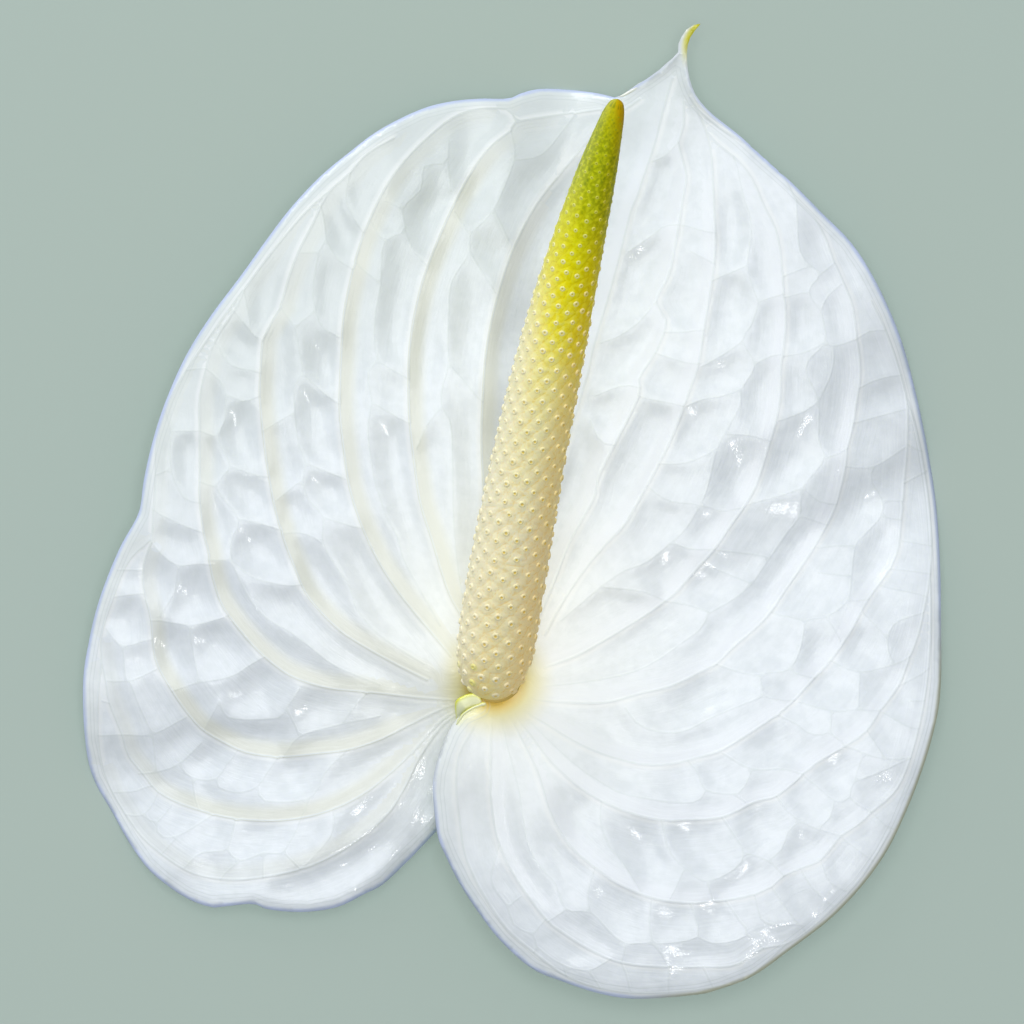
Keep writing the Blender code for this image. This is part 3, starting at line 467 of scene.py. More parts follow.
def belt(rings, sides, closed=False, back=False):
    """Triangles round a tube of rings of points, whose last ring may join the first, wound either way."""
    row = np.arange(rings - 1 + closed)[:, None] * sides
    j = np.arange(sides)[None]
    k = (j + 1) % sides
    a, b, c, d = ((start + i).ravel() for start in (row, (row + sides) % (rings * sides))
                  for i in ((k, j) if back else (j, k)))
    return np.vstack([np.stack([a, b, d], 1), np.stack([a, d, c], 1)])


def cap(first, sides, centre):
    """Triangles from a ring of points to its centre."""
    j = np.arange(sides)
    return np.stack([first + j, first + (j + 1) % sides, np.full(sides, centre)], 1)


def inner_side(sheet, turn, net):
    """Whether each point is on its nearest main vein's side toward the tip."""
    ends = net.points[np.array(net.edges["main"])]
    ends = np.where((np.hypot(*ends[:, 0].T) > np.hypot(*ends[:, 1].T))[:, None, None], ends[:, ::-1], ends)
    best, side = np.full(len(sheet), np.inf), np.zeros(len(sheet))
    for start, span in zip(ends[:, 0], ends[:, 1] - ends[:, 0]):
        rel = sheet - start
        gap = ((rel - np.clip(rel @ span / (span @ span), 0, 1)[:, None] * span) ** 2).sum(1)
        nearer = gap < best
        best[nearer], side[nearer] = gap[nearer], (rel[:, 0] * span[1] - rel[:, 1] * span[0])[nearer]
    return side * np.where(turn < MIDRIB_TURN, 1, -1) > 0


RIM_TABLE = np.array(RIM.replace(",", " ").split(), float).reshape(-1, 3)


def rim_rows():
    """Direction, distance and height of the rim's table, from the left lobe's notch round to the right's."""
    distance, turn = polar(RIM_TABLE, False)
    right = np.arange(len(turn)) >= RIM_LEFT_ROWS
    _, far_turn = polar(RIM_TABLE, True)
    return np.where(right, far_turn, turn), distance, RIM_TABLE[:, 2]


def ground(distance, turn):
    """Height of the smooth spathe, with neither relief nor rolled rim."""
    turns, reach, heights = rim_rows()
    crown_turns, crowns = np.radians([row[0] for row in CROWN]), np.array([row[1] for row in CROWN])
    crown = waved(turn, crown_turns, crowns)
    share = distance / waved(turn, turns, reach)
    funnel = 1 - np.exp(-((distance / FUNNEL_RADIUS) ** 2))
    twist = RIGHT_LOBE_LIFT * ramp(turn, *RIGHT_LOBE_TURNS) - LEFT_LOBE_DROP * ramp(-turn, *LEFT_LOBE_TURNS)
    twist = twist * ramp(distance, *LOBES_START)
    fall = np.clip(share, 0, 1.2) ** DOME_POWER
    height = COLLAR_HEIGHT + (crown - COLLAR_HEIGHT) * funnel + twist * (1 - fall)
    return height - (crown - waved(turn, turns, heights)) * fall + GROUND_LIFT


class Net:
    """Points and edges in which a point near an older one is that one."""

    def __init__(self):
        self.points = np.empty((0, 2))
        self.edges = {"rim": [], "main": [], "net": []}

    def add(self, points, kind):
        """Joins the points in turn by edges of one kind."""
        last = None
        for point in points:
            gaps = np.linalg.norm(self.points - point, axis=1)
            if len(gaps) and gaps.min() < SNAP_GAP:
                index = int(gaps.argmin())
            else:
                index = len(self.points)
                self.points = np.vstack([self.points, point])
            if last is not None and index != last:
                self.edges[kind].append((last, index))
            last = index

    def tie(self, gap):
        """Bends each edge through any point that lies nearer to it than the gap."""
        for kind, edges in self.edges.items():
            tied = []
            while edges:
                start, end = edges.pop()
                span, rel = self.points[end] - self.points[start], self.points - self.points[start]
                share = rel @ span / (span @ span)
                off = np.abs(rel[:, 0] * span[1] - rel[:, 1] * span[0]) / np.hypot(*span)
                off[(share <= 0) | (share >= 1)] = np.inf
                off[[start, end]] = np.inf
                near = int(off.argmin())
                if off[near] < gap:
                    edges += [(start, near), (near, end)]
                else:
                    tied.append((start, end))
            self.edges[kind] = tied


def spathe_net(step):
    """The outline, the collar and the veins on the opened-out sheet."""
    net = Net()
    sides = [flat(*polar(side, right)) for side, right in zip(lines(OUTLINE), (True, False))]
    start, end = unflat(np.array([sides[0][-1], sides[1][0]]))[1]
    collar = flat(np.full(COLLAR_POINTS, COLLAR_RADIUS), np.linspace(start, end, COLLAR_POINTS))
    loop = np.vstack([spline(sides[0], step), collar, spline(sides[1], step)])
    net.add(np.vstack([loop, loop[:1]]), "rim")
    for text, right, kind in ((LEFT_VEINS, False, "main"), (RIGHT_VEINS, True, "main"),
                              (LEFT_NET, False, "net"), (RIGHT_NET, True, "net")):
        for line in lines(text):
            distance, turn = polar(line, right)
            keep = distance > VEIN_START
            net.add(spline(flat(distance[keep], turn[keep]), step), kind)
    net.tie(TIE_GAP)
    return net, sides


def halved(points, faces):
    """Each triangle cut in four."""
    edges, index = np.unique(np.sort(edges_of(faces), axis=1), axis=0, return_inverse=True)
    ab, bc, ca = index.reshape(3, -1) + len(points)
    a, b, c = faces.T
    cut = np.vstack([np.stack(f, 1) for f in ((a, ab, ca), (ab, b, bc), (ca, bc, c), (ab, bc, ca))])
    return np.vstack([points, points[edges].mean(1)]), cut


def spathe_sheet(net, step):
    """Triangles over the opened-out sheet whose edges follow the outline and the veins."""
    edges = [edge for kind in net.edges.values() for edge in kind]
    low, high = net.points.min(0), net.points.max(0)
    rows = []
    for i, y in enumerate(np.arange(low[1], high[1], step * ROW_SHARE)):
        x = np.arange(low[0] + (i % 2) * step / 2, high[0], step)
        rows.append(np.stack([x, np.full(len(x), y)], 1))
    grid = np.vstack(rows)
    gap = np.full(len(grid), np.inf)
    for point in net.points:
        gap = np.minimum(gap, np.linalg.norm(grid - point, axis=1))
    ends = net.points[np.array(edges)]
    off = distance_to(grid, ends[:, 0], ends[:, 1])
    grid = grid[(gap > POINT_SHARE * step) & (off > EDGE_SHARE * step)]
    points = np.vstack([net.points, grid])
    found = delaunay_2d_cdt([tuple(p) for p in points], edges, [], 1, 1e-4)
    points, faces = (np.array([tuple(row) for row in rows]) for rows in (found[0], found[2]))
    pairs = np.sort(edges_of(faces), axis=1)
    doubled = pairs[np.linalg.norm(points[pairs[:, 0]] - points[pairs[:, 1]], axis=1) < DOUBLED_GAP]
    merged = np.arange(len(points))
    merged[doubled[:, 1]] = doubled[:, 0]
    faces = merged[faces]
    faces = faces[(faces != np.roll(faces, 1, axis=1)).all(1)]
    used, faces = np.unique(faces, return_inverse=True)
    return halved(points[used], faces.reshape(-1, 3))


def film(sheet, faces, stiff, level):
    """Depths of a film over the sheet that each vertex draws to its level, the more the stiffer it is."""
    count = len(sheet)
    starts, ends = faces.T.ravel(), np.roll(faces, -1, axis=1).T.ravel()
    far = np.roll(faces, -2, axis=1).T.ravel()
    first, second = sheet[starts] - sheet[far], sheet[ends] - sheet[far]
    twice_area = np.abs(first[:, 0] * second[:, 1] - first[:, 1] * second[:, 0])
    weight = np.clip((first * second).sum(1) / twice_area / 2, *FILM_WEIGHTS)
    pull = stiff * np.bincount(starts, twice_area / 6, count)
    around = np.bincount(starts, weight, count) + np.bincount(ends, weight, count) + pull
    depth = level.copy()
    for _ in range(FILM_STEPS):
        total = np.bincount(starts, weight * depth[ends], count)
        total += np.bincount(ends, weight * depth[starts], count)
        depth = (total + pull * level) / around
    return depth


def swell(points, wave, seed):
    """A smooth random field between about -1 and 1."""
    generator = np.random.default_rng(seed)
    total = np.zeros(len(points))
    for _ in range(SWELL_WAVES):
        heading = generator.normal(size=points.shape[1])
        heading *= generator.uniform(0.6, 1.5) / np.linalg.norm(heading) * 2 * np.pi / wave
        total += np.sin(points @ heading + generator.uniform(0, 2 * np.pi))
    return total / SWELL_SPREAD


def spathe_distances(net, sides, sheet):
    """Each vertex's distance to the veins, the rim, the tip and the base, and what else the colours need."""
    distance, turn = unflat(sheet)
    to = {}
    for kind in ("main", "net"):
        ends = net.points[np.array(net.edges[kind])]
        to[kind] = distance_to(sheet, ends[:, 0], ends[:, 1])
    starts, stops = (np.vstack([side[part] for side in sides]) for part in (slice(None, -1), slice(1, None)))
    to["rim"] = distance_to(sheet, starts, stops)
    to["tip"] = np.linalg.norm(sheet - sides[0][0], axis=1)
    inner = inner_side(sheet, turn, net)
    to["inner"], to["outer"] = (to["main"] * np.where(side, 1, 12) for side in (inner, ~inner))
    to["half"] = turn
    to["right"] = distance_to(sheet, sides[0][:-1], sides[0][1:])
    to["base"] = distance
    return to


def spathe_depth(sheet, faces, to, turn):
    """Depth of the hollows, which hang between the veins and the rim, less the ribs of the main veins."""
    stiff, level = np.full(len(sheet), HOLLOW_REACH ** -2), np.ones(len(sheet))
    near = np.clip(1.2 - to["main"] / 1.5, 0, 1)
    for held, height in ((to["net"] < ON_LINE, NET_LEVEL + (MAIN_LEVEL - NET_LEVEL) * near),
                         (to["main"] < ON_LINE, np.full(len(sheet), MAIN_LEVEL)),
                         (to["rim"] < RIM_BAND, np.full(len(sheet), RIM_LEVEL))):
        stiff[held], level[held] = HELD, height[held]
    depth = film(sheet, faces, stiff, level) * table(HOLLOWS, np.degrees(turn))
    depth *= 1 + SWELL_SHARE * swell(sheet, SWELL_WAVE, 3)
    depth -= RIB_HEIGHT * np.exp(-((to["main"] / RIB_WIDTH) ** 2)) * ramp(to["rim"], *RIB_START)
    depth = film(sheet, faces, np.full(len(sheet), SMOOTHING ** -2), depth)
    return depth * (ramp(to["base"], *BASE_START) * ramp(to["tip"], *TIP_START))


def spathe_middle(distance, turn, to, depth):
    """Points halfway through the blade, and its upright direction at each."""
    height = ground(distance, turn) - RIM_ROLL * np.exp(-to["rim"] / RIM_BAND)
    near, far = TIP_LIFT_REACH
    height += TIP_LIFT * np.exp(-to["rim"] / TIP_LIFT_BAND) * ramp(-to["tip"], -far, -near)
    across, along = np.sin(turn), np.cos(turn)
    x, y = np.stack([distance * across, distance * along]) + placed(BASE)[:, None]
    out = (ground(distance + 0.05, turn) - ground(distance - 0.05, turn)) / 0.1
    about = (ground(distance, turn + 0.01) - ground(distance, turn - 0.01)) / (0.02 * distance)
    normal = np.stack([-out * across - about * along, -out * along + about * across, np.ones(len(turn))], 1)
    normal /= np.linalg.norm(normal, axis=1)[:, None]
    return np.stack([x, y, height], 1) - normal * depth[:, None], normal


def thickened(middle, half, faces):
    """A closed blade round its middle surface."""
    ends = edges_of(faces)
    known = {tuple(e) for e in ends}
    edge = np.array([e for e in ends if (e[1], e[0]) not in known])
    count = len(middle)
    walls = np.vstack([np.stack([edge[:, 0], edge[:, 0] + count, edge[:, 1] + count], 1),
                       np.stack([edge[:, 0], edge[:, 1] + count, edge[:, 1]], 1)])
    return np.vstack([middle + half, middle - half]), np.vstack([faces, faces[:, ::-1] + count, walls])


def spathe_piece():
    """The spathe with its relief, the curled edges and the lining of the throat."""
    net, sides = spathe_net(SHEET_STEP)
    sheet, faces = spathe_sheet(net, SHEET_STEP)
    distance, turn = unflat(sheet)
    to = spathe_distances(net, sides, sheet)
    middle, normal = spathe_middle(distance, turn, to, spathe_depth(sheet, faces, to, turn))
    half = normal * (THICKNESS - RIM_THINNING * np.exp(-to["rim"] / RIM_EDGE))[:, None] / 2
    points, faces = thickened(middle, half, faces)
    values = {"to_" + kind: np.tile(numbers, 2) for kind, numbers in to.items()}
    values["curl"], values["edge"] = np.zeros(len(points)), np.zeros(len(points))
    extras = [(*curled(text, lifts, thickness), {"curl": mark}) for mark, text, lifts, thickness in CURLS]
    # The throat's lining takes the base's colour at THROAT_BASE, in the painted shade by the spadix's foot
    for more, turned, edge, known in [*extras, (*throat(), 0.0, {"curl": 0, "to_base": THROAT_BASE})]:
        faces = np.vstack([faces, turned + len(points)])
        points = np.vstack([points, more])
        for name in values:
            values[name] = np.append(values[name], np.full(len(more), known.get(name, FAR_OFF)))
        values["edge"][-len(more):] = edge
    return piece("spathe_fine", points, faces, values)


def curled(text, lifts, thickness):
    """A curled edge swept between its two drawn sides, and how near its outer side each point is."""
    along = np.linspace(0, 1, CURL_POINTS)
    outer, inner = (spline(line, CURL_STEP) for line in lines(text))
    outer, inner = (np.stack([np.interp(along, np.linspace(0, 1, len(side)), side[:, i]) for i in (0, 1)], 1)
                    for side in (outer, inner))
    distance, turn = polar((outer + inner) / 2, False)
    height = ground(distance, turn) + np.interp(along, np.linspace(0, 1, len(lifts)), lifts)
    angle = np.linspace(0, 2 * np.pi, CURL_SIDES, endpoint=False)
    taper = np.sqrt(np.clip(np.minimum(along, 1 - along) * CURL_TAPER, 0.02, 1))[:, None]
    half = (placed(outer) - placed(inner)) / 2
    plan = ((placed(outer) + placed(inner)) / 2)[:, None]
    plan = plan + (half * taper)[:, None] * np.cos(angle)[None, :, None]
    up = height[:, None] + thickness * taper * np.sin(angle)[None]
    points = np.concatenate([plan, up[..., None]], 2).reshape(-1, 3)
    last = len(points) - CURL_SIDES
    ends = [[(0, i + 1, i), (last, last + i, last + i + 1)] for i in range(1, CURL_SIDES - 1)]
    faces = np.vstack([belt(CURL_POINTS, CURL_SIDES), *ends])
    first, second, third = points[faces].transpose(1, 0, 2)
    if (first * np.cross(second, third)).sum() < 0:
        faces = faces[:, ::-1]
    return points, faces, np.tile(0.5 + 0.5 * np.cos(angle), CURL_POINTS)


def throat():
    """A low ring of the spathe's own flesh where it meets the foot of the spadix."""
    around = np.linspace(0, 2 * np.pi, THROAT_AROUND, endpoint=False)
    angle = np.linspace(0, 2 * np.pi, THROAT_SIDES, endpoint=False)
    out = THROAT_RADIUS + THROAT_WIDTH * np.cos(angle)[None]
    level = ground(np.full(THROAT_AROUND, THROAT_RADIUS), (around + np.pi) % (2 * np.pi) - np.pi).mean()
    rise = np.tile(level + THROAT_RISE + THROAT_WIDTH * np.sin(angle), (THROAT_AROUND, 1))
    foot = placed(BASE)
    across, along = np.sin(around)[:, None], np.cos(around)[:, None]
    points = np.stack([foot[0] + out * across, foot[1] + out * along, rise], 2)
    return points.reshape(-1, 3), belt(THROAT_AROUND, THROAT_SIDES, closed=True)


def sweep_frames(path):
    """Two unit vectors across a path at each of its points."""
    along = np.gradient(path, axis=0)
    along /= np.linalg.norm(along, axis=1)[:, None]
    side = np.cross(along, (0.0, 0.0, 1.0) if abs(along[0][2]) < 0.9 else (1.0, 0.0, 0.0))
    side /= np.linalg.norm(side, axis=1)[:, None]
    return side, np.cross(side, along)


def spadix_axis(share):
    """Points of the spadix's bowed axis at shares of its length."""
    start, end = placed(SPADIX_START), placed(SPADIX_TIP)
    chord = end - start
    left = np.array([-chord[1], chord[0]]) / np.linalg.norm(chord)
    share = np.asarray(share)[:, None]
    plan = start + chord * share + left * SPADIX_BOW * UNIT * 4 * share * (1 - share)
    return np.hstack([plan, SPADIX_HEIGHT + SPADIX_RISE * share + SPADIX_ARCH * share * (1 - share)])


def spadix_length():
    """Length of the bowed axis."""
    return np.linalg.norm(np.diff(spadix_axis(np.linspace(0, 1, 200)), axis=0), axis=1).sum()


def spadix_radius(share):
    """Radius of the smooth spadix at shares of its length."""
    profile = spline(np.array(SPADIX_PROFILE) * (spadix_length(), 1), PROFILE_STEP)
    return np.interp(share, profile[:, 0] / spadix_length(), profile[:, 1])


def spadix_frames(share):
    """Axis point and the two vectors across it at each share."""
    fine = np.linspace(0, 1, 400)
    axis = spadix_axis(fine)
    side, up = sweep_frames(axis)
    return [np.stack([np.interp(share, fine, v[:, i]) for i in range(3)], 1) for v in (axis, side, up)]


def florets():
    """Share of the length and angle of each floret: rows half a step on, wound as a helix and eased apart."""
    length = spadix_length()
    generator = np.random.default_rng(7)
    places = [0.0]
    while places[-1] < 1.0:
        places.append(places[-1] + table(FLORET_ALONG, places[-1]) / length)
    share, angle = [], []
    phase = 0.0
    for row in range(-ROWS_A_TURN, len(places)):
        at = np.interp(row + ROWS_A_TURN / 2, np.arange(len(places)), places)
        count = max(4, round(2 * np.pi * table(SPADIX_PROFILE, max(at, 0.03)) / table(FLORET_ACROSS, at)))
        phase += np.pi / count
        turn = (phase + 2 * np.pi * np.arange(count) / count) % (2 * np.pi)
        wound = row + ROWS_A_TURN * (1 - turn / (2 * np.pi))
        kept = (wound > 1.4) & (wound < len(places) - 2)
        angle.append(turn[kept])
        share.append(np.interp(wound[kept], np.arange(len(places)), places))
    share, angle = np.concatenate(share), np.concatenate(angle)
    share += generator.normal(0, FLORET_SCATTER, len(share))
    radius = spadix_radius(share)
    wide, tall = table(FLORET_ACROSS, share) / 2, table(FLORET_ALONG, share)
    for _ in range(EASING_PASSES):
        around = (angle[:, None] - angle + np.pi) % (2 * np.pi) - np.pi
        u = around * radius / wide
        v = (share[:, None] - share) * length / tall
        gap = np.hypot(u, v) + 1e-6
        push = np.clip(EASING_REACH - gap, 0, EASING_REACH) * (gap > 1e-3) * EASING_PUSH
        angle = angle + (push * u / gap).sum(1) * wide / radius
        share = np.clip(share + (push * v / gap).sum(1) * tall / length, *FLORET_ENDS)
    return share, angle


def nearest_floret(share, angle, centres):
    """For each point: the nearest floret and, in steps, how far its middle, its border and its arms are."""
    length = spadix_length()
    wide, tall, radius = table(FLORET_ACROSS, share) / 2, table(FLORET_ALONG, share), spadix_radius(share)
    floret, first, second, arm = (np.zeros(len(share)) for _ in range(4))
    for block in np.array_split(np.arange(len(share)), SEARCH_BLOCKS):
        near = np.abs(centres[0] - share[block].mean()) < SEARCH_REACH + np.ptp(share[block])
        chosen = np.flatnonzero(near)
        around = (angle[block, None] - centres[1][chosen] + np.pi) % (2 * np.pi) - np.pi
        u = around * radius[block, None] / wide[block, None]
        v = (share[block, None] - centres[0][chosen]) * length / tall[block, None]
        gap = u * u + v * v
        order = np.argsort(gap, axis=1)[:, :2]
        rows = np.arange(len(block))
        floret[block] = chosen[order[:, 0]]
        first[block], second[block] = gap[rows, order[:, 0]], gap[rows, order[:, 1]]
        arm[block] = np.minimum(np.abs(u[rows, order[:, 0]]), np.abs(v[rows, order[:, 0]]))
    return floret.astype(int), np.sqrt(first), (second - first) / 2, arm


def stigma(sides):
    """A ring with a pit in it: points by radius and height in its own size, the pit's share, and faces."""
    angle = np.linspace(0, 2 * np.pi, sides, endpoint=False)
    points = [(radius * np.cos(a), radius * np.sin(a), height)
              for radius, height, _ in STIGMA_RINGS for a in angle]
    pit = np.repeat([float(share) for *_, share in STIGMA_RINGS], sides)
    count = len(points)
    faces = np.vstack([belt(len(STIGMA_RINGS), sides), cap(count - sides, sides, count)])
    return np.array([*points, (0, 0, STIGMA_FLOOR)]), np.append(pit, 1.0), faces


def spadix_body(centres):
    """The spadix's bumpy surface, with numbers at its points for the colours."""
    length = spadix_length()
    profile = spline(np.array(SPADIX_PROFILE) * (length, 1), SPADIX_STEP)
    share = np.clip(profile[1:-1, 0] / length, 0, 1)
    sides = SPADIX_SIDES
    angle = np.linspace(0, 2 * np.pi, sides, endpoint=False)
    shares, angles = np.repeat(share, sides), np.tile(angle, len(share))
    floret, radial, border, arm = nearest_floret(shares, angles, centres)
    groove, bulge = np.exp(-((border / GROOVE_WIDTH) ** 2)), np.exp(-((radial / BULGE_WIDTH) ** 2))
    seam = np.exp(-((arm / SEAM_WIDTH) ** 2)) * ramp(radial, 0.3, 0.6)
    raised = (0.35 * (1 - groove) + 0.5 * bulge - 0.2 * seam) * table(FLORET_RELIEF, shares)
    raised = (raised - FLORET_SINK) * ramp(shares, 0.0, 0.02) * ramp(-shares, -1.0, -0.97)
    axis, side, up = spadix_frames(shares)
    radius = np.repeat(profile[1:-1, 1], sides) + raised
    points = axis + radius[:, None] * (side * np.cos(angles)[:, None] + up * np.sin(angles)[:, None])
    count = len(points)
    faces = np.vstack([belt(len(share), sides, back=True), cap(0, sides, count),
                       cap(count - sides, sides, count + 1)[:, ::-1]])
    values = {"share": np.append(shares, [0, 1]), "radial": np.append(radial, [1, 1]),
              "border": np.append(border, [1, 1]), "arm": np.append(arm, [1, 1]),
              "floret": np.append(floret, [0, 0]), "flank": np.append(np.cos(angles), [0, 0])}
    return np.vstack([points, spadix_axis([0.0, 1.0])]), faces, values


def spadix_piece():
    """The bumpy spadix with a stigma on each floret."""
    centres = florets()
    generator = np.random.default_rng(11)
    tone = generator.uniform(-1, 1, len(centres[0]))
    points, faces, values = spadix_body(centres)
    values["tone"] = tone[values.pop("floret").astype(int)]
    values["stigma"] = values["pit"] = np.zeros(len(points))
    share = centres[0]
    axis, side, up = spadix_frames(share)
    spin = centres[1][:, None]
    outward = side * np.cos(spin) + up * np.sin(spin)
    around = -side * np.sin(spin) + up * np.cos(spin)
    reach = spadix_radius(share) + table(FLORET_RELIEF, share) * STIGMA_SEAT - FLORET_SINK
    seat = axis + outward * reach[:, None]
    slope = spadix_radius(share + SLOPE_STEP) - spadix_radius(share - SLOPE_STEP)
    slope /= 2 * SLOPE_STEP * spadix_length()
    outward = outward - np.cross(up, side) * slope[:, None]
    outward /= np.linalg.norm(outward, axis=1)[:, None]
    forward = np.cross(outward, around)
    size = table(STIGMA_SIZE, share) * (1 + STIGMA_SIZE_SPREAD * generator.uniform(-1, 1, len(share)))
    rise = table(STIGMA_RISE, share) * (1 + STIGMA_RISE_SPREAD * generator.uniform(-1, 1, len(share)))
    shape, pit, ring_faces = stigma(STIGMA_SIDES)
    frames = np.stack([around * size[:, None], forward * size[:, None], outward * rise[:, None]], 1)
    body = seat[:, None] + np.einsum("pk,nkx->npx", shape, frames)
    if np.linalg.det(frames).mean() < 0:
        ring_faces = ring_faces[:, ::-1]
    count = len(shape)
    offset = len(points) + np.arange(len(share))[:, None, None] * count
    faces = np.vstack([faces, (ring_faces[None] + offset).reshape(-1, 3)])
    points = np.vstack([points, body.reshape(-1, 3)])
    rings = {"share": share, "radial": 0 * share, "border": 0 * share + 1, "arm": 0 * share,
             "flank": np.cos(centres[1]), "tone": tone, "stigma": 0 * share + 1}
    values = {name: np.append(values[name], np.repeat(rings[name], count) if name in rings
                              else np.tile(pit, len(share))) for name in values}
    return piece("spadix_fine", points, faces, values)


def stem_piece():
    """The stem from under the spadix, bending to lie on the ground below the right lobe."""
    foot = placed(BASE)
    heading = np.array(STEM_HEADING) / np.linalg.norm(STEM_HEADING)
    lying = STEM_RADIUS + STEM_CLEARANCE
    bend = [(0.0, 10.65), (0.1, 8.8), (0.5, 7.1), (1.8, 5.4), (4.5, 4.2), (8.5, 3.65), (13.0, lying + 0.1),
            (20.0, lying), (32.0, lying), (STEM_REACH, lying)]
    path = spline(np.array([[*(foot + heading * out), up] for out, up in bend]), 0.9)
    share = np.linspace(0, 1, len(path))
    radii = np.interp(share, (0, 0.1, 0.25, 1), (2.5, 2.9, STEM_RADIUS, STEM_RADIUS))
    side, up = sweep_frames(path)
    sides = STEM_SIDES
    angle = np.linspace(0, 2 * np.pi, sides, endpoint=False)
    ridged = 1 - STEM_RIDGE_DEPTH * (1 + np.cos(STEM_RIDGES * angle))
    ring = np.cos(angle)[None, :, None] * side[:, None] + np.sin(angle)[None, :, None] * up[:, None]
    points = (path[:, None] + ring * radii[:, None, None] * ridged[None, :, None]).reshape(-1, 3)
    count = len(points)
    rim = path[-1] + (points[-sides:] - path[-1]) * STEM_RIM
    points = np.vstack([points, rim, path[:1], path[-1:]])
    cut = np.repeat([0.0, 1.0, 0.0, 1.0], [count, sides, 1, 1])
    faces = np.vstack([belt(len(path) + 1, sides)[:, ::-1], cap(0, sides, count + sides),
                       cap(count, sides, count + sides + 1)[:, ::-1]])
    return piece("stem_fine", points, faces, {"cut": cut})


def piece(name, points, faces, values):
    """A smooth mesh object with a number at each vertex under each name."""
    mesh = bpy.data.meshes.new(name)
    mesh.from_pydata((points / 1000).tolist(), [], np.asarray(faces).tolist())
    for label, numbers in values.items():
        attribute = mesh.attributes.new(label, "FLOAT", "POINT")
        attribute.data.foreach_set("value", np.asarray(numbers, np.float32))
    mesh.shade_smooth()
    new = bpy.data.objects.new(name, mesh)
    bpy.context.scene.collection.objects.link(new)
    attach(new, "root")
    return new


def colour(red, green, blue):
    """A colour given as its look on screen, from 0 to 255."""
    values = np.array([red, green, blue]) / 255
    linear = np.where(values < 0.04045, values / 12.92, ((values + 0.055) / 1.055) ** 2.4)
    return (*linear.tolist(), 1.0)


class Finish:
    """A material and short ways to add nodes to it."""

    def __init__(self, name, **constants):
        self.material = bpy.data.materials.new(name)
        self.material.use_nodes = True
        self.tree = self.material.node_tree
        self.shader = self.tree.nodes["Principled BSDF"]
        for slot, value in constants.items():
            self.shader.inputs[slot.replace("_", " ")].default_value = value

    def put(self, socket, value):
        """Links or sets a socket."""
        if isinstance(value, bpy.types.NodeSocket):
            self.tree.links.new(value, socket)
        else:
            socket.default_value = value

    def attribute(self, name):
        """The number that each vertex has under a name."""
        new = self.tree.nodes.new("ShaderNodeAttribute")
        new.attribute_name = name
        return new.outputs["Fac"]

    def ease(self, value, low, high, start=0.0, end=1.0):
        """A smooth change from start to end as the value goes from low to high."""
        new = self.tree.nodes.new("ShaderNodeMapRange")
        new.interpolation_type = "SMOOTHSTEP"
        for slot, number in enumerate((value, low, high, start, end)):
            self.put(new.inputs[slot], number)
        return new.outputs["Result"]

    def math(self, kind, first, second=0.0):
        """A sum, difference, product or size of numbers."""
        new = self.tree.nodes.new("ShaderNodeMath")
        new.operation = kind
        self.put(new.inputs[0], first)
        self.put(new.inputs[1], second)
        return new.outputs[0]

    def times(self, first, *others):
        """The product of several numbers."""
        for other in others:
            first = self.math("MULTIPLY", first, other)
        return first

    def mix(self, share, first, second, blend="MIX"):
        """The first colour with a share of the second."""
        new = self.tree.nodes.new("ShaderNodeMix")
        new.data_type = "RGBA"
        new.blend_type = blend
        for slot, value in ((0, share), (6, first), (7, second)):
            self.put(new.inputs[slot], value)
        return new.outputs[2]

    def slope(self, heading, low, high, end):
        """A share that grows along a heading across the object, in metres."""
        spot = self.tree.nodes.new("ShaderNodeTexCoord")
        new = self.tree.nodes.new("ShaderNodeVectorMath")
        new.operation = "DOT_PRODUCT"
        self.tree.links.new(spot.outputs["Object"], new.inputs[0])
        new.inputs[1].default_value = heading
        return self.ease(new.outputs["Value"], low, high, 0.0, end)

    def ramp(self, value, stops):
        """A colour read from stops, each a place and a colour as it looks on screen."""
        new = self.tree.nodes.new("ShaderNodeValToRGB")
        self.put(new.inputs[0], value)
        elements = new.color_ramp.elements
        while len(elements) < len(stops):
            elements.new(0.5)
        for element, (place, shade) in zip(elements, stops):
            element.position = place
            element.color = colour(*shade)
        return new.outputs["Color"]

    def noise(self, scale, detail=3.0, stretch=(1, 1, 1), place=None):
        """Noise over the object, or over two numbers given as the place."""
        turn = self.tree.nodes.new("ShaderNodeMapping")
        turn.inputs["Scale"].default_value = stretch
        if place is None:
            spot = self.tree.nodes.new("ShaderNodeTexCoord").outputs["Object"]
        else:
            join = self.tree.nodes.new("ShaderNodeCombineXYZ")
            for slot, number in enumerate(place):
                self.put(join.inputs[slot], number)
            spot = join.outputs[0]
        self.tree.links.new(spot, turn.inputs["Vector"])
        new = self.tree.nodes.new("ShaderNodeTexNoise")
        new.inputs["Scale"].default_value = scale
        new.inputs["Detail"].default_value = detail
        self.tree.links.new(turn.outputs["Vector"], new.inputs["Vector"])
        return new.outputs["Fac"]

    def bump(self, height, distance, strength=1.0):
        """A surface direction that follows a height."""
        new = self.tree.nodes.new("ShaderNodeBump")
        new.inputs["Strength"].default_value = strength
        new.inputs["Distance"].default_value = distance
        self.put(new.inputs["Height"], height)
        return new.outputs["Normal"]


